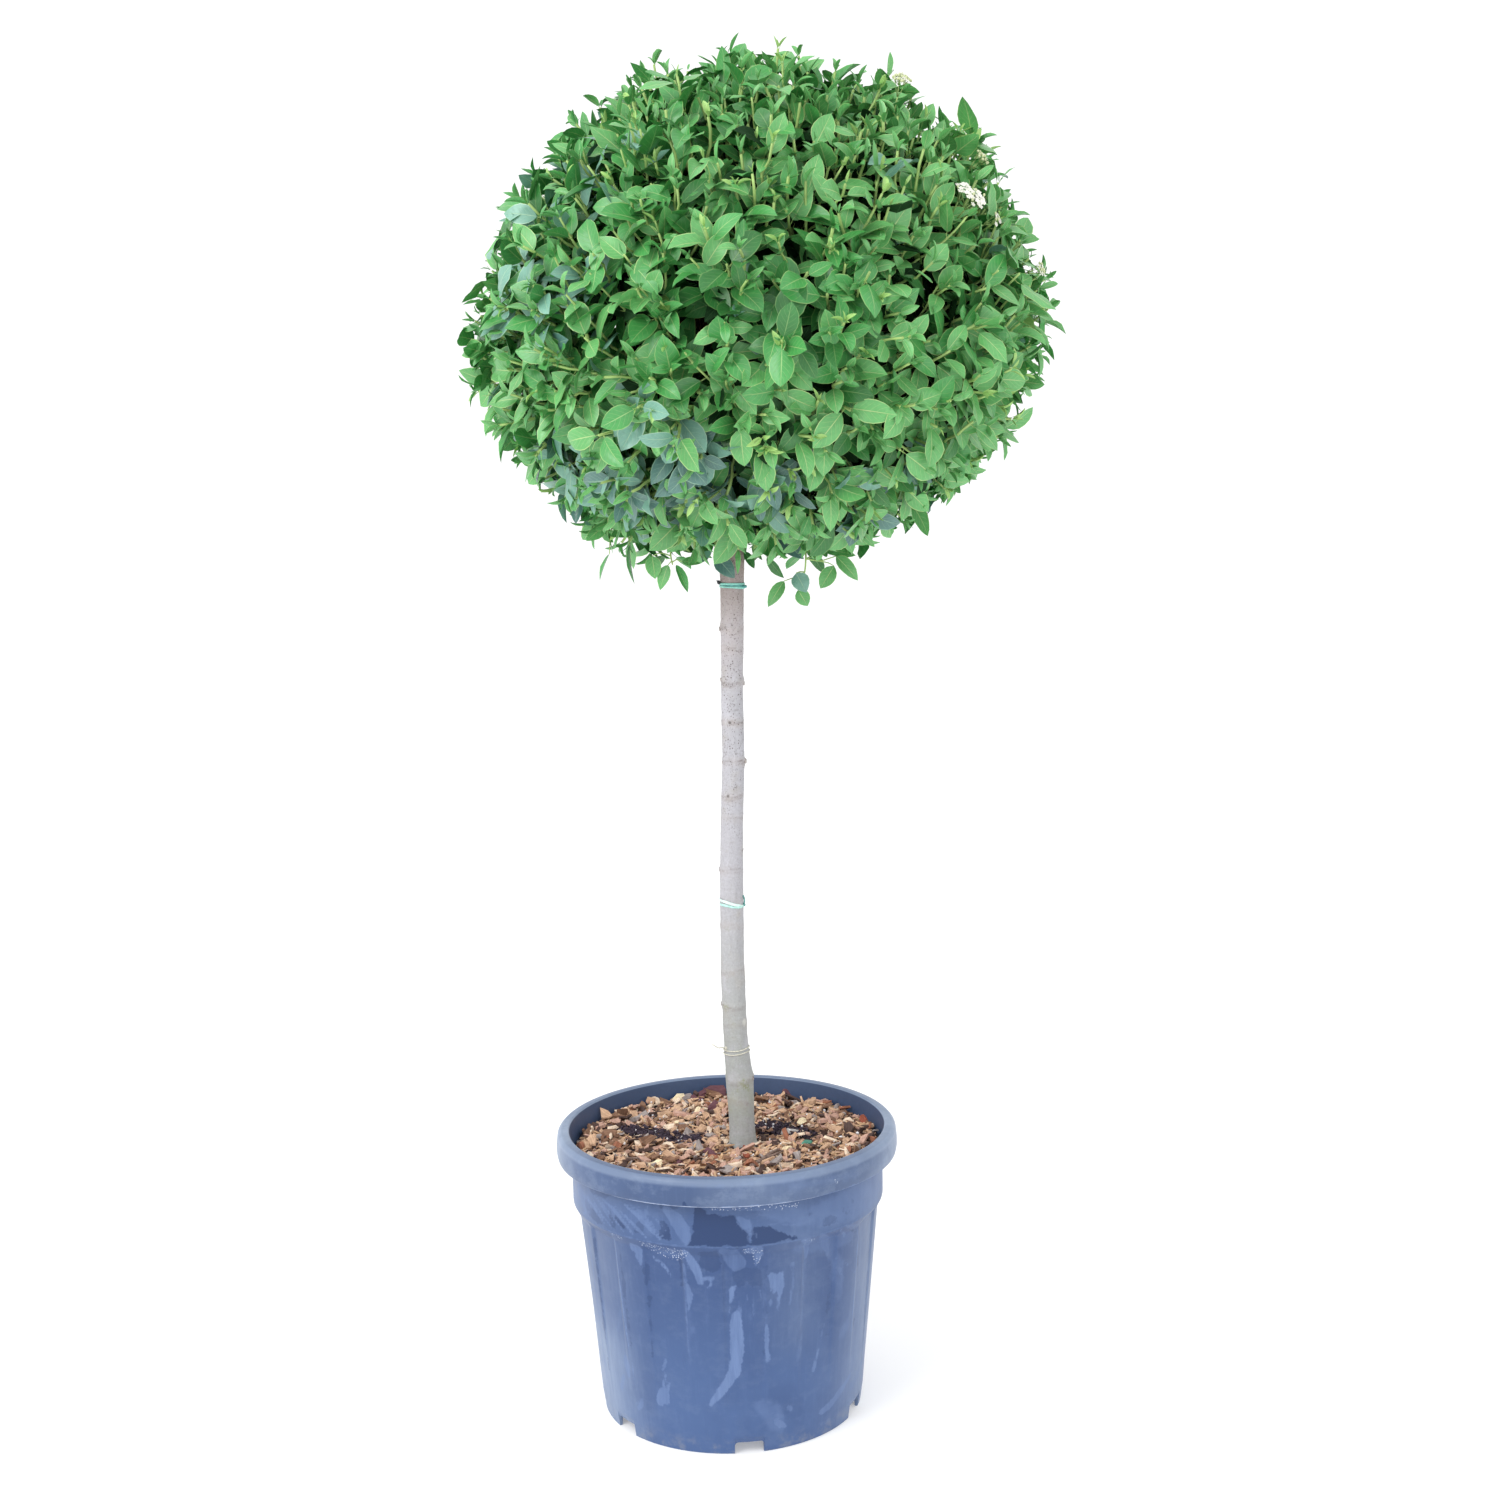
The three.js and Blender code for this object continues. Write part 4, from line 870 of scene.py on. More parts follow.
    kind[(place_z < 1230) & (place_x > 40) & (place_x < 230) & (kind <= 2) & (o >= 1) & (luck > 0.90)] = 0
    kind[(place_z > 1400) & (kind == 0) & (luck < 0.5)] = 1
    middle = (np.abs(place_x - 45) < 105) & (np.abs(place_z - 1245) < 85)
    kind[middle & (kind == 2) & (luck > 0.42)] = 1
    kind[middle & (kind == 1) & (luck < 0.40)] = 0
    # blue-green sprays, most of them low on the left and low in the middle: painted sheen of the sky on glossy leaves,
    # the paler sky kind on the higher ones and those far left as painted highlight
    front = np.where(tip[:, 1] < 40, 1.0, -1.0)
    bx, bz = (tip[:, 0] - 18) * front + 18, tip[:, 2]

    def spot(x0, z0, w, h):
        return np.exp(-((bx - x0) / w) ** 2 - ((bz - z0) / h) ** 2)
    odds = 0.02 + 0.85 * spot(-40, 1080, 90, 50) + 0.52 * spot(-180, 1110, 84, 60) + 0.72 * spot(-185, 1370, 84, 78) + 0.34 * spot(110, 1072, 85, 44) \
        + 0.16 * spot(-200, 1230, 90, 65)
    toss = rng.random(n)
    sheen_sprays = (toss < odds)[sh] & (o >= 1) & (x < 0.85)
    bright = np.clip(0.4 + (tip[:, 2] - 1080) / 400 + np.where(bx < -110, 0.3, 0.0), 0.3, 0.95)
    sheen_sprays &= (x < 0.62) | (place_z < 1180)
    kind[sheen_sprays] = np.where((rng.random(n) < bright)[sh], 6, 4)[sheen_sprays]
    # painted shade: the oldest leaves deep inside, and those deep in the middle and in the gaps low and high on the
    # right, get the darkest kind; deep inside on the left a deeper one
    inner = ((o >= 4) & (depth > 45)) | ((o == 3) & (depth > 72))
    kind[inner] = np.where((place_x < -70) & (luck < 0.8), np.where(luck < 0.4, 1, 0), 7)[inner]
    kind[middle & (o >= 3) & (depth > 34) & (luck < 0.5)] = 7
    gaps = ((place_x > 10) & (place_x < 225) & (place_z < 1150)) | ((place_x > 50) & (place_x < 260) & (place_z > 1330))
    kind[gaps & (o >= 2) & (depth > 28) & (luck > 0.70)] = 7
    kind[~fits] = -1
    # the palest tips stay small
    tight = (kind == 3) & (o == 0) & (L["len"] > 16)
    width = np.where(tight, width * 0.72, width)
    L["len"] = np.where(tight, L["len"] * 0.8, L["len"])
    out.update(L=L, start=start, axis=axis, face=face, width=width, fold=fold, bend=bend, curl=curl,
               wave=wave, twist=twist, oval=oval, kind=kind, depth=depth, wood=wood, young=young, petioles=petioles,
               centre=centre, reach=reach)
    return out


# foot and tip of each leaf that hangs below the ball, width for its length, kind, the way it faces, fold, bend
SPRIG_LEAVES = [
    ((71.2, -14, 1021.7), (103.4, -24, 994.0), .50, 4, (-.2, -.85, .45), 14, .3), ((109.6, -18, 1025.3), (110.2, -24, 996.1), .46, 5, (.3, -.9, .2), 22, .2),
    ((123.9, -16, 1002.5), (164.5, -10, 999.4), .44, 2, (.1, -.7, .7), 12, .35), ((139.5, -20, 995.4), (165.1, -26, 969.0), .50, 2, (.3, -.85, .35), 16, .3),
    ((137.1, -20, 984.3), (120.8, -26, 959.9), .64, 2, (0, -.95, .25), 12, .2), ((94.0, -22, 977.4), (104.9, -28, 955.7), .86, 6, (-.1, -.95, .2), 10, .2),
    ((95.9, -16, 958.2), (106.8, -18, 939.9), .85, 2, (.2, -.95, .1), 14, .1), ((80.3, -20, 968.7), (60.5, -26, 941.0), .48, 2, (-.25, -.9, .25), 16, .25),
    ((61.7, -12, 996.1), (79.2, -16, 971.0), .46, 0, (-.75, -.25, .6), 20, .2), ((158.2, -12, 1029.8), (174.7, -8, 1005.8), .42, 4, (.7, -.3, .6), 18, .2),
    ((112.0, -2, 998.0), (128.0, 14, 978.0), .55, 0, (.4, .7, .4), 16, .3), ((98.0, -4, 996.0), (84.0, 16, 984.0), .55, 1, (-.3, .7, .6), 16, .3),
    ((-67.8, -14, 1000.3), (-65.1, -20, 974.7), .72, 2, (-.1, -.95, .2), 12, .2), ((-50.1, -16, 989.8), (-61.0, -20, 962.0), .52, 2, (-.2, -.9, .3), 14, .3),
    ((-41.1, -16, 989.6), (-27.3, -20, 958.9), .40, 1, (.45, -.8, .2), 34, .2), ((-34.2, -18, 992.8), (-10.9, -22, 994.6), .58, 2, (.1, -.8, .6), 14, .4),
    ((-116.1, -8, 1003.4), (-130.5, -10, 974.0), .46, 1, (-.8, -.2, .5), 22, .2), ((-93.4, -10, 1013.0), (-91.2, -12, 968.4), .34, 0, (-.9, -.25, .1), 30, .15),
    ((-56.0, -4, 1000.0), (-70.0, 14, 984.0), .55, 0, (-.3, .7, .5), 16, .3), ((-40.0, 0, 998.0), (-24.0, 16, 986.0), .55, 1, (.3, .7, .5), 16, .3),
    ((4.1, -19, 998.1), (25.0, -22, 973.6), .66, 4, (.1, -.95, .25), 12, .15), ((36.0, -12, 1003.0), (48.0, -16, 984.0), .5, 0, (.5, -.8, .2), 18, .2),
    ((283.6, -104, 1428.0), (270.0, -106, 1440.0), .5, 3, (-.4, -.8, .4), 16, .2), ((283.6, -104, 1428.0), (296.0, -104, 1444.0), .5, 3, (.4, -.8, .4), 16, .2),
]
SPRIG_STEMS = [
    ([(104, 2, 1056), (106, -12, 1024), (105.6, -17, 994), (104.2, -18, 978), (98, -18, 962)], 1.4, 0.8),
    ([(105.6, -17, 993), (114, -18, 997), (123.9, -16, 1002.5)], 0.9, 0.6), ([(105.6, -17, 993), (122, -19, 990), (139.5, -20, 995.4)], 0.9, 0.6),
    ([(122, -19, 990), (131, -20, 988), (137.1, -20, 984.3)], 0.7, 0.5), ([(104, -18, 978), (99, -20, 979), (94, -22, 977.4)], 0.8, 0.6),
    ([(102, -18, 974), (90, -19, 972), (80.3, -20, 968.7)], 0.8, 0.5), ([(76, 2, 1050), (72, -8, 1034), (71.2, -14, 1021.7)], 0.9, 0.6),
    ([(110, 0, 1052), (110, -12, 1036), (109.6, -18, 1025.3)], 0.8, 0.6), ([(64, 4, 1030), (62, -6, 1010), (61.7, -12, 996.1)], 0.8, 0.5),
    ([(-46, 2, 1054), (-47, -10, 1022), (-47, -15, 1000), (-45, -16, 990)], 1.3, 0.8), ([(-47, -15, 1000), (-58, -14, 1004), (-67.8, -14, 1000.3)], 0.8, 0.5),
    ([(-46, -15, 994), (-48, -16, 992), (-50.1, -16, 989.8)], 0.7, 0.5), ([(-45, -16, 993), (-40, -16, 996), (-34.2, -16, 992.8)], 0.8, 0.5),
    ([(-110, 4, 1046), (-115, -4, 1022), (-116.1, -8, 1003.4)], 0.9, 0.5), ([(-92, 4, 1050), (-94, -6, 1030), (-93.4, -10, 1013)], 0.9, 0.5),
    ([(6, -4, 1040), (3, -16, 1016), (4.1, -19, 998.1)], 0.9, 0.6), ([(34, -2, 1040), (36, -8, 1020), (36, -12, 1003)], 0.9, 0.5),
    ([(262, -84, 1404), (276, -98, 1418), (283.6, -104, 1428)], 1.0, 0.7),
]
FLOWERS = [  # place, the way it faces, spread, florets, share open
    ((274, -208, 1356), (0.45, -0.75, 0.48), 11, 26, 0.85), ((264, -200, 1366), (0.3, -0.7, 0.64), 8, 16, 0.8), ((293, -121, 1410), (0.7, -0.35, 0.62), 9, 20, 0.1),
    ((208, -142, 1487), (0.2, -0.45, 0.87), 10, 30, 0.06), ((352, -136, 1293), (0.9, -0.35, 0.2), 7, 14, 0.5), ((300, -170, 1340), (0.8, -0.5, 0.3), 6, 9, 0.8),
    ((-190, 150, 1420), (-0.6, 0.5, 0.62), 12, 22, 0.7), ((90, 292, 1370), (0.1, 0.85, 0.5), 11, 18, 0.4), ((230, 214, 1330), (0.6, 0.7, 0.35), 12, 20, 0.8),
]


def sprigs(h):
    """the leaves that hang below the ball and the flower heads"""
    q = SPRIG_LEAVES
    foot = np.array([i[0] for i in q], float)
    tip = np.array([i[1] for i in q], float)
    length = np.linalg.norm(tip - foot, axis=1)
    d = unit(tip - foot)
    g = np.random.default_rng(SEED + 21)
    start = foot
    h["L"]["len"] = np.concatenate([h["L"]["len"], length])
    k = len(q)
    for key, val in (("start", start), ("axis", d), ("face", unit(np.array([i[4] for i in q], float))), ("width", length * np.array([i[2] for i in q])),
                     ("fold", np.array([i[5] for i in q]) * RAD), ("bend", np.array([i[6] for i in q])), ("curl", g.uniform(0, .15, k)),
                     ("wave", g.uniform(0, .1, k)), ("twist", g.normal(0, .12, k)), ("oval", g.uniform(.2, .8, k)),
                     ("kind", np.array([i[3] for i in q])), ("depth", np.zeros(k))):
        h[key] = np.concatenate([h[key], val])
    h["L"]["order"] = np.concatenate([h["L"]["order"], np.full(k, 2)])
    for pts, r0, r1 in SPRIG_STEMS:
        p = np.array(pts, float)
        t = np.linspace(0, len(p) - 1, 3 * len(p))
        path = np.stack([np.interp(t, np.arange(len(p)), p[:, c]) for c in range(3)], -1)
        path[1:-1] = (path[:-2] + path[1:-1] * 2 + path[2:]) / 4
        h["young"].add(*tube(path[None], np.linspace(r0, r1, len(path))[None], 6))
    petals, buds, stems = Soup(), Soup(), Soup()
    for place_, out, spread, count, share in FLOWERS:
        top, out = np.array(place_, float), unit(np.array(out, float))
        a = unit(np.cross(out, [0.3, 0.2, 1.0]))
        b = np.cross(out, a)
        base = top - out * (spread + 12)
        stems.add(*tube(np.stack([base - out * 14, base, base + out * 4])[None], np.array([[1.0, 0.9, 0.7]]), 6))
        i = np.arange(count) + 0.5
        rho = np.sqrt(i / count)
        th = i * 2.399963
        pts = top + (a * np.cos(th)[:, None] + b * np.sin(th)[:, None]) * (rho * spread)[:, None] + out * ((1 - rho ** 2) * 3.0 + g.normal(0, 0.8, count))[:, None]
        up = unit(out + 0.5 * unit(pts - base) + g.normal(0, 0.18, (count, 3)))
        # five main branches, then one stalk to each floret
        arm = base + out * 4
        five = np.arange(5) * 2 * math.pi / 5
        hub = top - out * 5 + (a * np.cos(five)[:, None] + b * np.sin(five)[:, None]) * spread * 0.5
        stems.add(*stalks(np.repeat(arm[None], 5, 0), hub + out, np.repeat(out[None], 5, 0) + 0.01, np.full(5, 0.7)))
        near = ((pts[:, None] - hub[None]) ** 2).sum(-1).argmin(1)
        stems.add(*stalks(hub[near], pts, up + 0.01, np.full(count, 0.42)))
        is_open = g.random(count) < share
        for p, w, o in zip(pts, up, is_open):
            u = unit(np.cross(w, [0.2, 0.9, 0.3]))
            v = np.cross(w, u)
            if o:
                for s5 in range(5):
                    f = s5 * 2 * math.pi / 5 + g.normal(0, 0.08)
                    e = u * math.cos(f) + v * math.sin(f)
                    c = np.cross(w, e)
                    petals.add([p + w * 0.2, p + e * 1.4 + c * 1.15 + w * 0.8, p + e * 2.75 + c * 0.7 + w * 0.9, p + e * 2.75 - c * 0.7 + w * 0.9, p + e * 1.4 - c * 1.15 + w * 0.8],
                               [[[0, 4, 3, 2]], [[0, 2, 1]]])
                for s3 in range(3):
                    f = s3 * 2.1
                    e = u * math.cos(f) + v * math.sin(f)
                    petals.add(*stalks((p + w * 0.3)[None], (p + w * 2.2 + e * 0.9)[None], e[None], np.array([0.22])))
            else:
                buds.add(*blob(p + w * 0.9, (1.35, 1.35, 1.7), int(g.integers(1e6)), 6, 3))
    white = plain("blossom_white", lin(238, 238, 228), 0.6, 0.3, 0.05, 200)
    bud = plain("blossom_bud", lin(196, 204, 160), 0.6, 0.3, 0.1, 200)
    green = plain("blossom_stalk", lin(150, 178, 112), 0.6, 0.3, 0.12, 100)
    place(petals.build("blossom_petals", white, with_uv=False), "foliage")
    place(buds.build("blossom_buds", bud, with_uv=False), "foliage")
    place(stems.build("blossom_stalks", green, with_uv=False), "foliage")
    print("blossom", petals.tris() + buds.tris() + stems.tris())


def head():
    h = grow()
    sprigs(h)
    mats = {
        # the last colour of each kind is its margin, partly a painted highlight along the leaf's rim
        "deep": leaf_material("leaf_deep", LEAF["deep"], lin(112, 156, 92), lin(116, 160, 92), 0.38),
        "mid": leaf_material("leaf_mid", LEAF["mid"], lin(146, 188, 118), lin(154, 194, 118), 0.36),
        "fresh": leaf_material("leaf_fresh", LEAF["fresh"], lin(172, 202, 134), lin(184, 212, 138), 0.38),
        "lime": leaf_material("leaf_lime", LEAF["lime"], lin(200, 222, 152), lin(196, 220, 146), 0.46),
        # blue and sky: painted reflection of the sky on glossy leaves
        "blue_sheen": leaf_material("leaf_blue_sheen", LEAF["blue_sheen"], lin(140, 178, 150), lin(150, 190, 160), 0.33),
        "sky_sheen": leaf_material("leaf_sky_sheen", LEAF["sky_sheen"], lin(154, 192, 160), lin(174, 206, 176), 0.36),
        "shade": leaf_material("leaf_shade", LEAF["shade"], lin(48, 84, 48), lin(44, 78, 44), 0.7, 0.12),
        "olive": leaf_material("leaf_olive", LEAF["olive"], lin(156, 176, 108), lin(152, 176, 104), 0.45),
    }
    L = h["L"]
    args = ("width", "fold", "bend", "curl", "wave", "twist", "oval")
    total = 0
    first = True
    for ki, kname in enumerate(LEAF_KINDS):
        mine = np.where(h["kind"] == ki)[0]
        near = (L["len"][mine] > 13.6) & ((L["order"][mine] <= 1) | ((L["order"][mine] == 2) & (h["depth"][mine] < 78)) | (h["depth"][mine] < 58))
        fine, coarse = mine[near], mine[~near]
        soups, part = [], Soup()
        for low, idx in ((False, fine), (True, coarse)):
            for a in range(0, len(idx), 400):
                sel = idx[a:a + 400]
                part.add(*leaves(h["start"][sel], h["axis"][sel], h["face"][sel], L["len"][sel],
                                 *[h[x][sel] for x in args], low=low))
                if part.tris() > 165000:
                    soups.append(part)
                    part = Soup()
        if part.n:
            soups.append(part)
        for b, s in enumerate(soups):
            ob = s.build(f"leaves_{kname}_{b + 1}" if len(soups) > 1 else f"leaves_{kname}", mats[kname])
            place(ob, "foliage", *(("crown_foliage", "hanging_spray_right", "hanging_spray_left") if first else ()))
            first = False
            total += s.tris()
        print("leaves", kname, len(mine), "low", len(coarse))
    bark = plain("twig_bark", lin(112, 84, 62), 0.85, 0.12, 0.3, 160, 0.0006)
    green = plain("shoot_green", lin(158, 188, 112), 0.5, 0.4, 0.22, 40)
    place(h["wood"].build("twigs", bark, with_uv=False), "young_wood")
    place(h["young"].build("shoots", green, with_uv=False), "foliage")
    place(h["petioles"].build("leaf_stalks", green, with_uv=False), "foliage")
    total += h["wood"].tris() + h["young"].tris() + h["petioles"].tris()
    print("head triangles", total, "leaves", len(L["len"]), "shoots", SHOOTS)


# ----------------------------------------------------------------- container
def eased(profile, spacing):
    """the profile with its corners rounded and its straights divided; rows of radius, height, region"""
    pts = np.array([(r, z) for r, z, _, _ in profile], float)
    rows = []
    last = pts[0]
    rows.append((*pts[0], profile[0][3]))
    for i in range(1, len(pts)):
        p, cut, region = pts[i], profile[i][2], profile[i][3]
        if 0 < i < len(pts) - 1 and cut > 0:
            a, b = pts[i - 1] - p, pts[i + 1] - p
            la, lb = np.linalg.norm(a), np.linalg.norm(b)
            c = min(cut, 0.45 * la, 0.45 * lb)
            t = np.linspace(0, 1, 5)[:, None]
            curve = (1 - t) ** 2 * (p + a / la * c) + 2 * t * (1 - t) * p + t ** 2 * (p + b / lb * c)
        else:
            curve = p[None]
        gap = np.linalg.norm(curve[0] - last)
        step = spacing(region, curve[0][1])
        n = max(1, int(round(gap / step)))
        for k in range(1, n):
            q = last + (curve[0] - last) * k / n
            rows.append((*q, region))
        nxt = profile[i + 1][3] if i + 1 < len(profile) else region
        for k, q in enumerate(curve):
            rows.append((*q, region if k < 3 else nxt))
        last = curve[-1]
    return np.array(rows)


ROUND = 170.0                                                 # radius that the marks are laid out on
LAP = 2 * math.pi * ROUND


def stroke_field(az, z, strokes):
    """how far inside the nearest stroke each point lies, in mm, and that stroke's strength"""
    x = az * RAD * ROUND
    best, power = np.full(az.shape, -8.0), np.zeros(az.shape)
    for k, pts in strokes:
        q = [(a * RAD * ROUND, h, w) for a, h, w in pts]
        for (x0, z0, w0), (x1, z1, w1) in zip(q[:-1], q[1:]):
            dx, dz = x1 - x0, z1 - z0
            ax = (x - x0 + LAP / 2) % LAP - LAP / 2
            t = np.clip((ax * dx + (z - z0) * dz) / max(dx * dx + dz * dz, 1e-6), 0, 1)
            inside = (w0 + (w1 - w0) * t) / 2 - np.hypot(ax - t * dx, z - z0 - t * dz)
            m = inside > best
            best[m], power[m] = inside[m], k
    return best, power


def patch_field(az, z, patches):
    """the same for closed outlines"""
    x = az * RAD * ROUND
    best, power = np.full(az.shape, -8.0), np.zeros(az.shape)
    for k, pts in patches:
        q = np.array([(a * RAD * ROUND, h) for a, h in pts])
        edge, odd = np.full(az.shape, 1e9), np.zeros(az.shape, bool)
        for (x0, z0), (x1, z1) in zip(q, np.roll(q, -1, 0)):
            dx, dz = x1 - x0, z1 - z0
            t = np.clip(((x - x0) * dx + (z - z0) * dz) / (dx * dx + dz * dz), 0, 1)
            edge = np.minimum(edge, np.hypot(x - x0 - t * dx, z - z0 - t * dz))
            odd ^= ((z0 > z) != (z1 > z)) & (x < x0 + (z - z0) * dx / (dz if abs(dz) > 1e-9 else 1e-9))
        inside = np.where(odd, edge, -edge)
        m = inside > best
        best[m], power[m] = inside[m], k
    return best, power


def wear():
    """marks for the sides and the back, of the same kinds as those in the front"""
    g = np.random.default_rng(SEED + 5)
    rubbed, clean = [], []
    for a in np.arange(84, 276, 7.5):
        a = a + g.uniform(-3, 3)
        kind = g.random()
        if kind < 0.3:                                        # drip
            h = g.uniform(150, 236)
            rubbed.append((g.uniform(0.3, 0.6), [(a, h, g.uniform(3, 7)), (a + g.uniform(-1, 1), h - g.uniform(15, 40), 4), (a + g.uniform(-1.5, 1.5), h - g.uniform(50, 90), 1.6)]))
        elif kind < 0.5:                                      # crescent
            h, w, side = g.uniform(80, 190), g.uniform(6, 13), g.choice([-1, 1])
            rubbed.append((g.uniform(0.5, 0.9), [(a, h + 40, w * 0.6), (a + side * 1.2, h + 15, w), (a + side * 0.5, h - 12, w * 0.9), (a - side * 3.4, h - 40, w * 0.4)]))
        elif kind < 0.8:                                      # scratch
            h = g.uniform(30, 225)
            rubbed.append((g.uniform(0.4, 0.7), [(a, h, 2), (a + g.uniform(-4, 4), h - g.uniform(8, 18), g.uniform(3, 6)), (a + g.uniform(-6, 6), h - g.uniform(20, 34), 2)]))
        else:                                                 # blot
            h, w = g.uniform(40, 215), g.uniform(6, 14)
            rubbed.append((g.uniform(0.4, 0.8), [(a - 1, h, w * 0.7), (a + 1.5, h - w * 0.5, w), (a + 0.5, h - w * 1.6, w * 0.4)]))
    for a in np.arange(68, 300, 9.0):
        a = a + g.uniform(-4, 4)
        h = g.uniform(270, 294)
        rubbed.append((g.uniform(0.3, 0.6), [(a, h, 2), (a + g.uniform(3, 8), h - g.uniform(8, 16), g.uniform(3, 6)), (a + g.uniform(8, 14), h - g.uniform(16, 30), 2)]))
        if g.random() < 0.55:
            rubbed.append((0.34, [(a, 284, 14), (a + 9, g.uniform(268, 280), 26)]))
    for a in (104, 139, 171, 212, 246):
        w, h, low = g.uniform(4, 9), g.uniform(284, 298), g.uniform(255, 264)
        ring = np.linspace(0, 2 * math.pi, 13)[:-1]
        jag = g.uniform(0.62, 1.2, 12)
        clean.append((g.uniform(0.3, 0.55), [(a + w * jag[i] * math.cos(q) + 0.25 * w * math.sin(q), (h + low) / 2 + (h - low) / 2 * min(1.0, jag[i]) * math.sin(q))
                                             for i, q in enumerate(ring)]))
        clean.append((0.4, [(a + 14, 247), (a + 19, 244), (a + 22, 246), (a + 20.6, 236), (a + 19, g.uniform(214, 232)), (a + 17.4, 228), (a + 16, 236)]))
    return rubbed, clean


# lighter towards the sides, by azimuth, on the body, low down and on the rim: partly dust, partly painted reflection of
# the bright surroundings at grazing angles
SHEEN_AND_DUST_BODY = np.array([(-180, .3), (-120, .32), (-92, .6), (-79, .5), (-67, .22), (-56, .17), (-46, .13), (-38, .04), (-30, .0), (8, .0), (16, .06), (26, .16), (36, .06), (44, .0),
                      (52, .12), (60, .28), (70, .3), (84, .4), (110, .3), (180, .3)])
SHEEN_AND_DUST_LOW = np.array([(-180, .3), (-92, .5), (-76, .6), (-60, .55), (-48, .32), (-38, .08), (-28, .0), (30, .0), (44, .06), (56, .25), (70, .34), (84, .4), (110, .3), (180, .3)])
SHEEN_AND_DUST_RIM = np.array([(-180, .3), (-110, .4), (-84, .74), (-72, .48), (-60, .18), (-50, .06), (-38, .02), (-24, .0), (-12, .0), (-4, .12), (8, .2), (20, .16), (36, .1), (50, .14),
                     (62, .42), (84, .7), (110, .35), (180, .3)])


def plastic():
    n = Nodes("container_plastic", 0.42, 0.3)
    here = n.object_coords()
    broad = n.noise(here, 14, 3, 0.55)
    fine = n.noise(here, 190, 3, 0.6)
    mid = n.noise(here, 70, 3, 0.6)
    h = n.height()
    rub = n.attribute("rubbed")
    torn = n.math("MULTIPLY_ADD", n.math("SUBTRACT", fine, 0.5), 4.4, rub)
    torn = n.math("MULTIPLY_ADD", n.math("SUBTRACT", mid, 0.5), 4.0, torn)
    streak = n.noise(n.object_coords((1, 1, 0.10)), 170, 4, 0.7)
    light = n.math("MULTIPLY", n.band(torn, -0.8, 1.3), n.attribute("rubbed_power"))
    light = n.math("MULTIPLY", light, n.band(streak, 0.2, 0.7, 0.55, 1.08))
    worn = n.math("MULTIPLY_ADD", n.math("SUBTRACT", n.noise(here, 60, 4, 0.65), 0.5), 18.0, n.attribute("haze"))
    worn = n.math("MULTIPLY", n.band(worn, -3.0, 5.0), n.attribute("haze_power"))
    worn = n.math("MULTIPLY", worn, n.band(mid, 0.25, 0.7, 0.6, 1.1))
    light = n.math("MAXIMUM", light, worn)
    edge = n.math("MULTIPLY_ADD", n.math("SUBTRACT", fine, 0.5), 6.0, n.attribute("clean"))
    edge = n.math("MULTIPLY_ADD", n.math("SUBTRACT", mid, 0.5), 15.0, edge)
    clean = n.math("MULTIPLY", n.band(edge, -1.0, 1.2), n.attribute("clean_power"))
    c = n.mix(n.band(h, 0.05, 0.235), PLASTIC, PLASTIC_DEEP)
    c = n.mix(n.band(h, 0.249, 0.256), c, PLASTIC_BAND)
    c = n.mix(n.band(broad, 0.42, 0.7, 0.0, 0.55), c, PLASTIC_DEEP)
    c = n.mix(n.math("MULTIPLY", n.attribute("rim"), n.band(broad, 0.3, 0.7, 0.65, 1.0)), c, PLASTIC_RIM)
    # thin dust in cloudy patches, over the rim most of all
    cloud = n.band(n.noise(n.object_coords((1, 1, 1.6)), 38, 5, 0.72), 0.47, 0.66, 0.0, 1.0)
    c = n.mix(n.math("MULTIPLY", cloud, n.math("MULTIPLY_ADD", n.attribute("rim"), 0.09, 0.05)), c, PLASTIC_DUST_AND_SHEEN)
    c = n.mix(n.band(streak, 0.5, 0.8, 0.0, 0.12), c, PLASTIC_RUB_AND_HIGHLIGHT)
    # painted highlight where the lip of the rim catches the light; the top face of the rim is darker
    c = n.mix(n.math("MULTIPLY", n.attribute("rim"), n.band(h, 0.3245, 0.3290, 0.0, 0.36)), c, PLASTIC_DUST_AND_SHEEN)
    c = n.mix(n.math("MULTIPLY", n.attribute("rim"), n.band(h, 0.3335, 0.3344, 0.0, 0.5)), c, PLASTIC_CLEAN_AND_SHADE)
    # lighter towards the sides: partly dust, partly painted reflection at grazing angles
    c = n.mix(n.math("MULTIPLY", n.attribute("dust_and_sheen"), n.band(n.math("MULTIPLY_ADD", n.attribute("rim"), n.math("SUBTRACT", mid, streak), streak), 0.25, 0.72, 0.72, 1.05)), c, PLASTIC_DUST_AND_SHEEN)
    # darker where the plastic was covered, and painted shade along the flute edges
    c = n.mix(clean, c, PLASTIC_CLEAN_AND_SHADE)
    # rubs and dust, and painted highlights along the flute edges, the lip of the band and the lower edge of the skirt
    c = n.mix(n.math("MULTIPLY", light, 0.85), c, PLASTIC_RUB_AND_HIGHLIGHT)
    # dust at the foot, pale specks under the rim, a painted highlight along the lower edge of the rim's skirt, and
    # inside a darker colour, partly dirt and partly painted shade
    low = n.math("MULTIPLY", n.band(h, 0.026, 0.004), n.band(n.noise(here, 60, 3, 0.7), 0.46, 0.68, 0.0, 0.34))
    c = n.mix(low, c, lin(140, 142, 146))
    v = n.new("ShaderNodeTexVoronoi")
    n.put(v.inputs["Vector"], here)
    v.inputs["Scale"].default_value = 430.0
    dots = n.math("MULTIPLY", n.band(v.outputs["Distance"], 0.36, 0.18), n.band(n.attribute("speckled"), -0.6, 1.2))
    c = n.mix(n.math("MULTIPLY", dots, 0.8), c, lin(200, 209, 228))
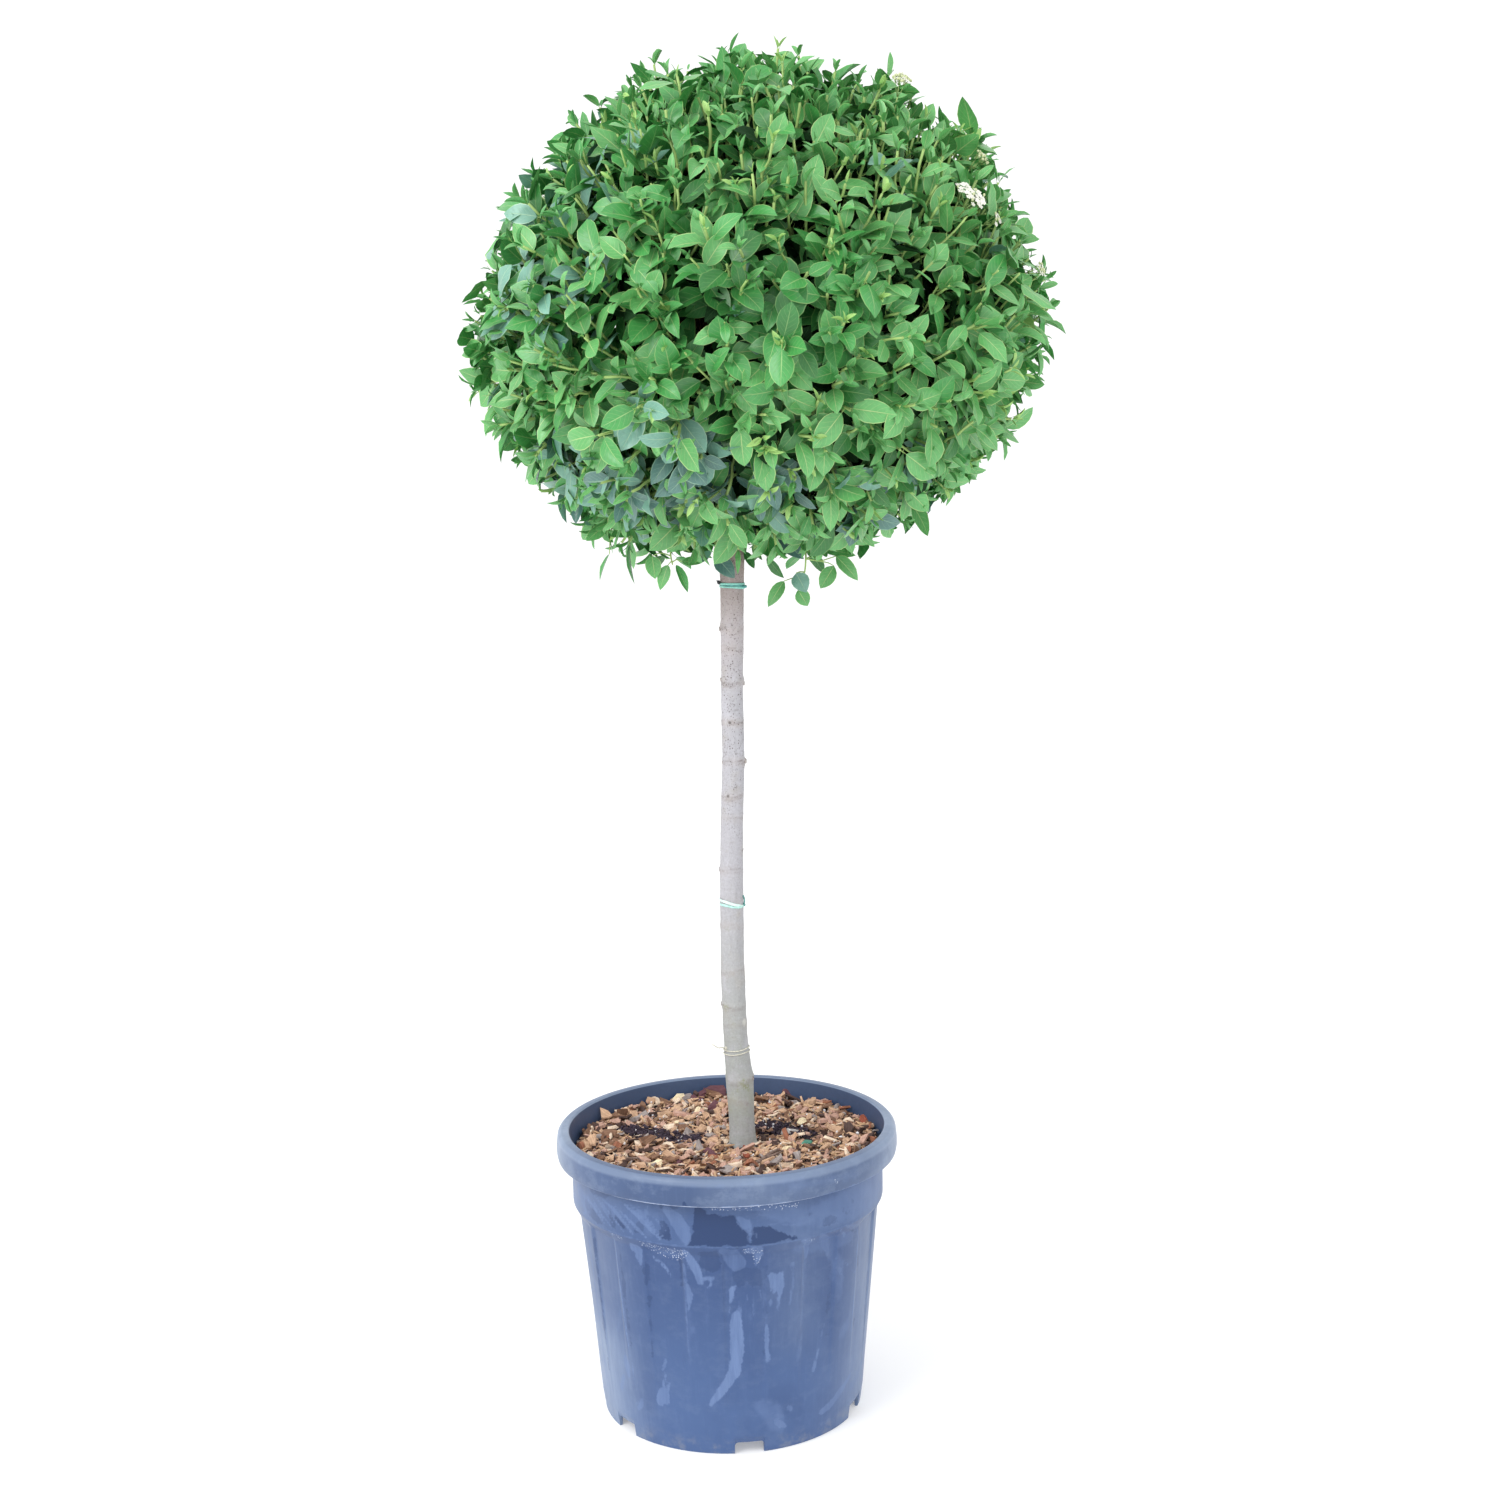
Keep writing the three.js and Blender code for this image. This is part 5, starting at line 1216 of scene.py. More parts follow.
    # painted highlight along the lower edge of the rim's skirt
    c = n.mix(n.math("MULTIPLY", n.band(n.attribute("edge"), -0.5, 0.5), n.band(mid, 0.3, 0.6, 0.15, 0.72)), c, lin(200, 210, 231))
    # inside darker: partly dirt, partly painted shade
    inner = n.attribute("inner")
    c = n.mix(n.math("MULTIPLY", inner, n.band(fine, 0.3, 0.8, 0.84, 1.0)), c, PLASTIC_INNER_DIRT_AND_SHADE)
    n.colour(c)
    rough = n.math("MULTIPLY_ADD", light, 0.16, n.band(broad, 0.3, 0.7, 0.36, 0.44))
    n.rough(n.math("MULTIPLY_ADD", clean, -0.06, rough))
    n.bump(n.math("MULTIPLY_ADD", light, 0.25, fine), 0.16, 0.0006)
    return n.m


def container():
    def spacing(region, z):
        return {0: 30, 1: 2, 2: 3.5, 3: 2.2, 4: 4, 5: 5 if z > 285 else 28, 6: 40}[region]
    rows = eased(POT_PROFILE, spacing)
    # columns: closer in the front, and at the sides of the flutes and notches
    az = list(np.arange(-82, 88, 1.1)) + list(np.arange(88, 278, 2.6))
    edges = []
    for i in range(FLUTES):
        for sgn in (-1, 1):
            e = FLUTE_AZ + i * 360 / FLUTES + sgn * FLUTE_HALF
            edges += [e - 1.0, e - 0.5, e, e + 0.5, e + 1.0]
    half = NOTCH_W / 2
    for i in range(NOTCHES):
        c = NOTCH_AZ + i * 360 / NOTCHES
        for m in (half + 0.05, half - 0.05, half - 0.7, half - 1.8, half - 3.2, half - 4.2):
            edges += [c - m / 152.0 / RAD, c + m / 152.0 / RAD]
    az = np.array([a for a in az if min(abs((a - e + 180) % 360 - 180) for e in edges) > 0.45] + edges)
    az = np.sort((az + 180) % 360 - 180)
    k = len(az)
    rr, zz, region = rows[:, 0], rows[:, 1], rows[:, 2]
    a, r = np.meshgrid(az, rr)
    z = np.repeat(zz[:, None], k, 1)
    g = np.repeat(region[:, None], k, 1)
    # flutes, deepest under the band
    off = np.abs((a - FLUTE_AZ + 180 / FLUTES) % (360 / FLUTES) - 180 / FLUTES) - FLUTE_HALF
    bed = 1 - smooth(off, -0.9, 0.9)
    deep = np.where(z < 240.5, np.clip((z - FLUTE_LOW_Z) / (240.5 - FLUTE_LOW_Z), 0, 1) ** 0.85, np.clip((251 - z) / 10.5, 0, 1))
    outer = (g == 2) | ((g == 3) & (z < 252))
    r = r - np.where(outer & (z > FLUTE_LOW_Z), bed * deep * FLUTE_DEPTH, 0)
    # a little waviness, as moulded plastic has
    r = r + np.where((g >= 2) & (g <= 5), 0.35 * np.sin(a * RAD * 2 + 0.7) + 0.25 * (lattice(a / 360, z, 14, 60, 3) - 0.5), 0)
    # drainage notches lift the foot ring
    d = np.abs((a - NOTCH_AZ + 30) % 60 - 30) * RAD * 152.0
    lift = np.where(d < half - 4.2, NOTCH_H, NOTCH_H - 4 + np.sqrt(np.maximum(0, 16 - np.clip(d - (half - 4.2), 0, 4) ** 2)))
    lift = np.where(d < half, lift, 0)
    foot = ((g == 1) | (g == 2)) & (z < 20) & (r > 149)
    ring = (g == 0) & (r > 148) & (z < 14.4)
    z = np.where(foot, lift + z * (20 - lift) / 20, np.where(ring, lift + z * (14.5 - lift) / 14.5, z))
    x, y = r * np.sin(a * RAD), -r * np.cos(a * RAD)
    verts = np.stack([x, y, z], -1)
    m = len(rows)
    inside = verts[1:-1].reshape(-1, 3)
    i = np.arange(m - 3)[:, None] * k + np.arange(k)[None]
    j = np.arange(m - 3)[:, None] * k + (np.arange(k)[None] + 1) % k
    quad = np.stack([i, j, j + k, i + k], -1).reshape(-1, 4)
    c = np.arange(k)
    e = (c + 1) % k
    n0, n1 = len(inside), len(inside) + 1
    last = (m - 3) * k
    bottom = np.stack([e, c, np.full(k, n0)], -1)
    top = np.stack([last + c, last + e, np.full(k, n1)], -1)
    s = Soup()
    s.add(np.concatenate([inside, verts[:1, 0] * [0, 0, 1], verts[-1:, 0] * [0, 0, 1]]), [quad, np.concatenate([bottom, top])])
    fa, fz, fg = a[1:-1].ravel(), z[1:-1].ravel(), g[1:-1].ravel()
    more_rubbed, more_clean = wear()
    marks = RUBS_AND_HIGHLIGHTS + more_rubbed
    hard = [m for m in marks if m[0] > 0.36]
    faint = [m for m in marks if m[0] <= 0.36]
    rub, rub_k = stroke_field(fa, fz, hard)
    haze, haze_k = stroke_field(fa, fz, faint)
    cl, cl_k = patch_field(fa, fz, CLEAN + more_clean)
    ln, ln_k = stroke_field(fa, fz, CLEAN_AND_SHADE_LINES)
    m2 = ln > cl
    cl[m2], cl_k[m2] = ln[m2], ln_k[m2]
    sp, _ = stroke_field(fa, fz, SPECKLED)
    # painted highlight along the lower edge of the rim's skirt
    skirt_highlight, _ = stroke_field(fa, fz, [(1.0, [(-40, 303.5, 0.6), (-30, 303.5, 1.7), (0, 303.5, 1.9), (18, 303.5, 1.5), (30, 303.5, 0.5)])])
    front = (fg >= 1) & (fg <= 4)
    for f in (rub, haze, cl, sp):
        f[~front] = -8
    skirt_highlight[fg != 4] = -8

    # lighter towards the sides: partly dust, partly painted reflection at grazing angles
    body = np.interp(fa, SHEEN_AND_DUST_BODY[:, 0], SHEEN_AND_DUST_BODY[:, 1])
    body = body + (np.interp(fa, SHEEN_AND_DUST_LOW[:, 0], SHEEN_AND_DUST_LOW[:, 1]) - body) * smooth(fz, 150, 90)
    dust_and_sheen = np.where(fg == 4, np.interp(fa, SHEEN_AND_DUST_RIM[:, 0], SHEEN_AND_DUST_RIM[:, 1]), body * (1 - 0.5 * smooth(fz, 230, 262)))

    def full(v):
        return np.concatenate([v, [0, 0]])
    print("container", s.tris())
    place(s.build("container", plastic(), True, with_uv=False, sharp=34, attrs={
        "rubbed": full(rub), "rubbed_power": full(rub_k), "clean": full(cl), "clean_power": full(cl_k),
        "haze": full(haze), "haze_power": full(haze_k), "rim": full((fg == 4).astype(float)), "dust_and_sheen": full(np.where(front, dust_and_sheen, 0)),
        "speckled": full(sp), "edge": full(skirt_highlight), "inner": full((fg >= 5).astype(float))}), "container_plastic", "pot")


# --------------------------------------------------------------------- mulch
def mulch_level(x, y):
    r = np.hypot(x - 18.8, y)
    wave = np.sin(x * 0.043 + 1.1) * np.cos(y * 0.051 - 0.4) + 0.6 * np.sin(x * 0.11 - y * 0.09) + 0.4 * np.cos(x * 0.19 + y * 0.17)
    z = 309 + 1.8 * wave + 2.6 * smooth(np.hypot(x, y), 90, 175)
    return 305.5 + (z - 305.5) * smooth(r, 24, 40)


SOIL = [((-120, 44), (-92, 34), 14), ((-88, 30), (-70, 20), 12), ((-58, 16), (-36, 6), 8), ((40, 50), (62, 40), 13), ((64, 34), (92, 12), 15),
        ((-92, 96), (-84, 92), 8), ((112, 88), (122, 92), 8)]


def on_soil(x, y):
    best = np.full(np.shape(x), -99.0)
    for (x0, y0), (x1, y1), w in SOIL:
        dx, dy = x1 - x0, y1 - y0
        t = np.clip(((x - x0) * dx + (y - y0) * dy) / (dx * dx + dy * dy), 0, 1)
        best = np.maximum(best, w - np.hypot(x - x0 - t * dx, y - y0 - t * dy))
    return best


def chips(g, x, y, half, slim, thick, lift, tilt, lobes=7, bow=0.0, turn=None, up=None):
    """flat broken flakes: K outlines with a rough edge, thin and a little bowed"""
    k = len(x)
    a = (np.arange(lobes) + 0.5)[None] * 2 * math.pi / lobes + g.normal(0, 0.24, (k, lobes))
    rad = g.uniform(0.68, 1.16, (k, lobes))
    px = np.sign(np.cos(a)) * np.abs(np.cos(a)) ** 0.75 * rad * half[:, None]
    py = np.sin(a) * rad * (half * slim)[:, None]
    shrink = g.uniform(0.82, 1.02, (k, lobes))
    bend = (bow * g.uniform(-1, 1, k) / np.maximum(half, 1))[:, None]
    top = np.stack([px * shrink, py * shrink, thick[:, None] * g.uniform(0.75, 1.2, (k, lobes)) + bend * px ** 2 * 0.5], -1)
    low = np.stack([px, py, bend * px ** 2 * 0.5], -1)
    zero = np.zeros(k)
    mid = np.stack([np.stack([g.normal(0, 0.2, k) * half, zero, thick * g.uniform(0.95, 1.45, k)], -1), np.stack([zero, zero, zero], -1)], 1)
    v = np.concatenate([top, low, mid], 1)
    if turn is None:
        turn = g.uniform(0, 2 * math.pi, k)
    if up is None:
        lean = g.uniform(0, 2 * math.pi, k)
        up = np.stack([np.sin(tilt) * np.cos(lean), np.sin(tilt) * np.sin(lean), np.cos(tilt)], -1)
    w = unit(up)
    side = np.stack([np.cos(turn), np.sin(turn), np.zeros(k)], -1)
    u = unit(side - dot(side, w) * w)
    t = np.cross(w, u)
    pos = np.stack([x, y, mulch_level(x, y) + lift], -1)
    v = pos[:, None] + v[..., :1] * u[:, None] + v[..., 1:2] * t[:, None] + v[..., 2:] * w[:, None]
    n = 2 * lobes + 2
    c = np.arange(lobes)
    e = (c + 1) % lobes
    tris = np.concatenate([np.stack([c, e, np.full(lobes, 2 * lobes)], -1), np.stack([lobes + e, lobes + c, np.full(lobes, 2 * lobes + 1)], -1)])
    quads = np.stack([lobes + c, lobes + e, e, c], -1)
    off = (np.arange(k) * n)[:, None, None]
    uv = np.concatenate([np.stack([px, py], -1) * 0.9, np.stack([px, py], -1), np.zeros((k, 2, 2))], 1) / (half[:, None, None] * 2.4) + 0.5
    return v.reshape(-1, 3), [(quads[None] + off).reshape(-1, 4), (tris[None] + off).reshape(-1, 3)], uv.reshape(-1, 2)


def chip_material(name, base, vary=0.3, rough=0.85):
    """woody flake: u runs along the grain"""
    n = Nodes(name, rough, 0.25)
    vec, u, v = n.uv()
    stretch = n.new("ShaderNodeMapping")
    n.put(stretch.inputs["Vector"], vec)
    stretch.inputs["Scale"].default_value = (2.0, 16.0, 1.0)
    grain = n.noise(stretch.outputs[0], 1.0, 4, 0.65)
    dark = tuple(x * (1 - vary) for x in base)
    light = tuple(min(1.0, x * (1 + vary)) for x in base)
    n.colour(n.mix(n.band(grain, 0.3, 0.7), dark, light))
    n.bump(grain, 0.5, 0.0008)
    return n.m


CHIP_KINDS = [  # name, colour, share
    ("tan", (198, 163, 135), 0.25), ("pink", (192, 155, 139), 0.19), ("cream", (228, 206, 184), 0.15), ("brown", (132, 100, 81), 0.20),
    ("dark", (80, 62, 58), 0.13), ("rust", (152, 101, 79), 0.03), ("grey", (156, 146, 144), 0.05)]


def mulch():
    g = np.random.default_rng(SEED + 11)
    # potting mix
    radii = np.concatenate([[20], np.arange(24, 178, 3.0), [180.0]])
    n = 150
    a = np.arange(n) * 2 * math.pi / n
    rr, aa = np.meshgrid(radii, a, indexing="ij")
    shift = 18.8 * (1 - smooth(rr, 60, 150))
    x, y = rr * np.cos(aa) + shift, rr * np.sin(aa)
    crumb = lattice(aa / 2 / math.pi, rr, 60, 5.5, 8) + 0.6 * lattice(aa / 2 / math.pi, rr, 140, 3.1, 9)
    z = mulch_level(x, y) - 4.6 + 3.4 * crumb + 5.2 * smooth(on_soil(x, y), -5, 7)
    outer = rr > 176
    keep = 179.0 / np.maximum(np.hypot(x, y), 1)
    x, y = np.where(outer, x * keep, x), np.where(outer, y * keep, y)
    top = np.stack([x, y, z], -1)
    wall = np.stack([x[-1], y[-1], np.full(n, 285.0)], -1)
    grid = np.concatenate([top, wall[None]])
    m = len(grid)
    i = np.arange(m - 1)[:, None] * n + np.arange(n)[None]
    j = np.arange(m - 1)[:, None] * n + (np.arange(n)[None] + 1) % n
    s = Soup()
    s.add(grid.reshape(-1, 3), [np.stack([i, i + n, j + n, j], -1).reshape(-1, 4)])
    soil = Nodes("potting_mix", 0.95, 0.2)
    f = soil.noise(soil.object_coords(), 260, 4, 0.7)
    soil.colour(soil.mix(soil.band(f, 0.35, 0.72), lin(40, 34, 42), lin(96, 84, 84)))
    soil.bump(f, 0.8, 0.0014)
    place(s.build("potting_mix", soil.m, True, with_uv=False), "mulch", "mulch")
    total = s.tris()
    # flakes in three layers
    K = 4100
    r = 177.5 * np.sqrt(g.random(K))
    t = g.uniform(0, 2 * math.pi, K)
    x, y = r * np.cos(t), r * np.sin(t)
    half = np.clip(np.exp(g.normal(math.log(5.7), 0.40, K)), 2.4, 13)
    slim = np.clip(g.normal(0.56, 0.18, K), 0.16, 0.95)
    bare = on_soil(x, y) + g.normal(0, 3.2, K)
    ok = (np.hypot(x - 18.8, y) > 15.5 + half * 0.7) & (r + half * 0.8 < 180.5) & ((bare < 0) | (g.random(K) < 0.2))
    x, y, half, slim = x[ok], y[ok], half[ok], slim[ok]
    K = len(x)
    layer = g.random(K)
    lift = layer * 4.2 - 1.6 + 0.2 * half * (layer > 0.7)
    tilt = np.abs(g.normal(0, 0.62, K)) + (g.random(K) < 0.10) * g.uniform(0.5, 1.0, K)
    tilt = np.minimum(tilt, 1.35)
    thick = np.clip(g.normal(1.5, 0.6, K), 0.6, 3.4) * np.clip(half / 6, 0.6, 1.6)
    share = np.cumsum([k[2] for k in CHIP_KINDS])
    pick = np.searchsorted(share / share[-1], g.random(K))
    # the lowest flakes are mostly brown: painted shade beneath the upper ones
    pick = np.where((layer < 0.3) & (g.random(K) < 0.4), 3, pick)
    for q, (name, colour, _) in enumerate(CHIP_KINDS):
        sel = pick == q
        s = Soup()
        s.add(*chips(g, x[sel], y[sel], half[sel], slim[sel], thick[sel], lift[sel], tilt[sel], lobes=5, bow=0.9))
        total += s.tris()
        place(s.build(f"bark_{name}", chip_material(f"bark_{name}", lin(*colour)), False), "mulch")
    # slivers
    K = 620
    r = 176 * np.sqrt(g.random(K))
    t = g.uniform(0, 2 * math.pi, K)
    x, y = r * np.cos(t), r * np.sin(t)
    half = g.uniform(5, 12, K)
    ok = (np.hypot(x - 18.8, y) > 20 + half) & (r + half < 180) & ((on_soil(x, y) < 0) | (g.random(K) < 0.25))
    x, y, half = x[ok], y[ok], half[ok]
    K = len(x)
    s = Soup()
    s.add(*chips(g, x, y, half, g.uniform(0.08, 0.18, K), g.uniform(0.6, 1.4, K), g.uniform(1.5, 4.5, K), np.abs(g.normal(0, 0.4, K)), lobes=4, bow=0.8))
    total += s.tris()
    place(s.build("bark_slivers", chip_material("bark_slivers", lin(206, 172, 138)), False), "mulch")
    # crumbs of potting mix that lie open
    K = 900
    seg = g.integers(0, 5, K)
    t = g.random(K)
    x = np.array([SOIL[i][0][0] + (SOIL[i][1][0] - SOIL[i][0][0]) * u for i, u in zip(seg, t)]) + g.normal(0, 8.5, K)
    y = np.array([SOIL[i][0][1] + (SOIL[i][1][1] - SOIL[i][0][1]) * u for i, u in zip(seg, t)]) + g.normal(0, 8.5, K)
    ok = np.hypot(x - 18.8, y) > 20
    x, y = x[ok], y[ok]
    K = len(x)
    s = Soup()
    s.add(*chips(g, x, y, g.uniform(1.2, 3.6, K), g.uniform(0.6, 1, K), g.uniform(1.2, 3.4, K), g.uniform(1.0, 4.4, K), g.uniform(0, 0.7, K), lobes=5))
    total += s.tris()
    place(s.build("soil_crumbs", plain("soil_crumb", lin(58, 48, 60), 0.9, 0.3, 0.45, 320, 0.0006), False, with_uv=False), "mulch")
    # perlite
    K = 210
    pick = g.random(K) < 0.3
    seg = g.integers(0, len(SOIL), K)
    t = g.random(K)
    x = np.array([SOIL[i][0][0] + (SOIL[i][1][0] - SOIL[i][0][0]) * u for i, u in zip(seg, t)]) + g.normal(0, 8, K)
    y = np.array([SOIL[i][0][1] + (SOIL[i][1][1] - SOIL[i][0][1]) * u for i, u in zip(seg, t)]) + g.normal(0, 8, K)
    r, t = 174 * np.sqrt(g.random(K)), g.uniform(0, 2 * math.pi, K)
    x, y = np.where(pick, x, r * np.cos(t)), np.where(pick, y, r * np.sin(t))
    ok = (np.hypot(x - 18.8, y) > 20) & (np.hypot(x, y) < 176)
    x, y = x[ok], y[ok]
    K = len(x)
    s = Soup()
    s.add(*chips(g, x, y, np.clip(np.exp(g.normal(0.05, 0.42, K)), 0.5, 2.5), g.uniform(0.7, 1, K), g.uniform(0.9, 2.2, K), g.uniform(2.0, 5.6, K), g.uniform(0, 0.6, K), lobes=5))
    total += s.tris()
    place(s.build("perlite", plain("perlite", lin(232, 230, 234), 0.8, 0.3, 0.06, 300), False, with_uv=False), "mulch")
    # pieces that stand out: x, y, half length, slimness, thickness, lift, turn, up direction, material
    odd = [
        ("maroon", (108, 74, 82), [(-14, 172, 19, 0.52, 2.4, 7, 0.12, (0.05, -0.93, 0.36)), (-34, 160, 13, 0.6, 2.4, 4, 0.4, (-0.25, -0.8, 0.5)),
                                   (-14, 118, 10, 0.8, 3, 6, 1.3, (0.3, -0.9, 0.4)), (81, 167, 12, 0.4, 2, 4, -0.3, (0.1, -0.7, 0.7)),
                                   (-20, -46, 11, 0.4, 3, 3, -0.6, (0.2, -0.5, 0.8)), (-57, -75, 9, 0.5, 2.4, 3, 0.7, (0, -0.4, 0.9))]),
        ("rust_bold", (148, 82, 64), [(164, 39, 9, 0.7, 2.4, 5, 1.2, (-0.5, -0.75, 0.45)), (19.5, -27, 6.5, 0.42, 2.6, 4, 1.5, (0.1, -0.9, 0.4)),
                                      (22, -60, 5, 0.6, 3, 2.5, 0.2, (0.0, -0.5, 0.86)), (13, -70, 4, 0.5, 2.6, 2.5, 2.4, (0.1, -0.3, 0.9))]),
        ("cream_bold", (244, 222, 188), [(-58, 160, 10, 0.8, 2, 5, 0.8, (0.25, -0.8, 0.55)), (90, 53, 8, 0.55, 2, 5, 1.0, (0.1, -0.8, 0.6)),
                                         (-99, 162, 6, 0.8, 2, 5, 0.3, (0, -0.8, 0.6)), (-36, 108, 7, 0.5, 2, 5, 1.1, (-0.2, -0.8, 0.6)),
                                         (-60, 60, 3.2, 0.9, 2.4, 4, 0, (0, -0.6, 0.8)), (-30, 52, 3.4, 0.9, 2.4, 4, 0, (0, -0.6, 0.8)),
                                         (-82, -82, 9, 0.8, 2.4, 3, 0.5, (0.1, -0.5, 0.85)), (70, -40, 9, 0.35, 2, 4, 0.4, (0.1, -0.6, 0.8))]),
        ("grey_bold", (172, 168, 166), [(1, -21, 10, 0.45, 1.6, 5, 1.25, (0.75, -0.5, 0.4)), (-115, 150, 10, 0.6, 2.4, 5, 0.3, (-0.1, -0.8, 0.6)),
                                        (72, 20, 12, 0.6, 2.4, 3, 0.2, (0.1, -0.5, 0.8))]),
    ]
    for name, colour, items in odd:
        q = np.array([list(i[:7]) + list(i[7]) for i in items], float)
        s = Soup()
        s.add(*chips(g, q[:, 0], q[:, 1], q[:, 2], q[:, 3], q[:, 4], q[:, 5], np.zeros(len(q)), lobes=9, bow=1.4, turn=q[:, 6], up=q[:, 7:10]))
        total += s.tris()
        place(s.build(f"bark_{name}", chip_material(f"bark_{name}", lin(*colour), 0.22), False), "mulch")
    # twigs lying on top
    def lying(points, r0, r1):
        q = np.array(points, float)
        z = mulch_level(q[:, 0], q[:, 1]) + q[:, 2]
        return np.stack([q[:, 0], q[:, 1], z], -1)[None], np.linspace(r0, r1, len(q))[None]
    s = Soup()
    for pts, r0, r1 in (
            ([(27, -106, 6), (33, -92, 7), (42, -76, 7.5), (50, -62, 8), (60, -49, 8)], 3.1, 1.7),
            ([(44, -74, 7.5), (54, -70, 8), (64, -60, 8.5)], 1.8, 1.1),
            ([(60, 186, 4), (74, 182, 9), (83, 178, 12), (91, 174, 15)], 1.7, 1.1), ([(80, 179, 11), (84, 180, 16), (83, 178, 19)], 1.2, 0.7),
            ([(86, 176, 12), (92, 172, 12), (97, 170, 14)], 1.0, 0.6), ([(-118, -58, 5), (-102, -70, 6), (-88, -88, 5)], 1.4, 0.9),
            ([(104, -86, 5), (116, -70, 6), (120, -52, 5)], 1.5, 0.9), ([(-60, 20, 4), (-44, 26, 6), (-30, 22, 5)], 1.2, 0.8)):
        path, rad = lying(pts, r0, r1)
        s.add(*tube(path, rad, 7))
    total += s.tris()
    place(s.build("fallen_twigs", plain("fallen_twig", lin(126, 106, 98), 0.85, 0.2, 0.35, 220, 0.0008), with_uv=False), "mulch")
    # a scrap of tape
    s = Soup()
    q = np.array([[88, -32, 5], [92, -28, 7], [96, -26, 6], [100, -22, 5]], float)
    z = mulch_level(q[:, 0], q[:, 1]) + q[:, 2]
    s.add(*ribbon(np.stack([q[:, 0], q[:, 1], z], -1), np.array([0.2, -0.7, 0.6]), 5.0, 0.5))
    total += s.tris()
    place(s.build("tape_scrap", plain("tape_scrap", lin(70, 142, 122), 0.4, 0.5, 0.15, 200), with_uv=False), "tie_tape")
    print("mulch", total)


def ribbon(path, face, height, thick):
    """a flat strip along a path: face is the way its flat side looks, one vector or one a point"""
    path = np.asarray(path, float)
    m = len(path)
    tan = unit(np.gradient(path, axis=0))
    face = np.broadcast_to(np.asarray(face, float), path.shape)
    out = unit(face - dot(face, tan) * tan)
    up = np.cross(out, tan)
    h = np.broadcast_to(np.asarray(height, float), (m,))[:, None] / 2
    t = np.broadcast_to(np.asarray(thick, float), (m,))[:, None] / 2
    ring = np.stack([path + up * h + out * t * 0.4, path + up * h * 0.5 + out * t * 1.25, path - up * h * 0.5 + out * t * 1.25, path - up * h + out * t * 0.4,
                     path - up * h - out * t * 0.4, path + up * h - out * t * 0.4], 1)
    n = 6
    i = np.arange(m - 1)[:, None] * n + np.arange(n)[None]
    j = np.arange(m - 1)[:, None] * n + (np.arange(n)[None] + 1) % n
    quad = np.stack([i, j, j + n, i + n], -1).reshape(-1, 4)
    ends = np.array([[0, 5, 4, 3], [0, 3, 2, 1]])
    last = (m - 1) * n
    return ring.reshape(-1, 3), [np.concatenate([quad, ends, ends[:, ::-1] + last])], None


# --------------------------------------------------------------------- stem
def stem_relief(z, az):
    """radius of the stem with its bark, how strongly a ring scar shows, and how warm the bark is beside it"""
    r = np.interp(z, STEM_RADIUS[:, 0], STEM_RADIUS[:, 1])
    scar, warm = np.zeros_like(r), np.zeros_like(r)
    turn = az / 2 / math.pi
    for k, (node, swell, side, dark) in enumerate(STEM_NODES):
        q = side * RAD
        d = z - node - 1.5 * np.sin(az + q + k) - 1.0 * np.sin(2 * az + 2.3 * k)
        lean = 0.3 + 0.7 * (0.5 + 0.5 * np.cos(az - q)) ** 1.6
        r = r + swell * lean * np.exp(-(d / 4.6) ** 2) + 0.32 * dark * np.exp(-((d - 1.7) / 1.0) ** 2) - 0.42 * dark * np.exp(-(d / 0.9) ** 2)
        r = r - 0.2 * dark * np.exp(-((d + 3.0) / 0.8) ** 2)
        broken = np.clip(2.2 * lattice(turn, z, 13, 24, 300 + k) - 0.45, 0, 1)
        scar = np.maximum(scar, dark * broken * np.maximum(np.exp(-(d / 1.1) ** 2), 0.6 * np.exp(-((d + 3.0) / 0.9) ** 2)))
        warm = np.maximum(warm, (0.35 + 0.65 * dark) * lean * np.exp(-((d + 1) / 5.5) ** 2))
    r = r + 0.8 * (lattice(turn, z, 5, 46, 21) - 0.5) + 0.5 * (lattice(turn + 0.002 * z / 10, z, 26, 22, 22) - 0.5)
    r = r + 0.30 * (lattice(turn, z, 52, 6.5, 23) - 0.5) + 0.24 * (lattice(turn, z, 14, 2.6, 24) - 0.5)
    # buttress at the foot
    foot = np.exp(-(z - 306) / 7.0)
    r = r + foot * 1.2 * np.maximum(0, np.cos(3 * az + 0.6))
    return r, scar, warm


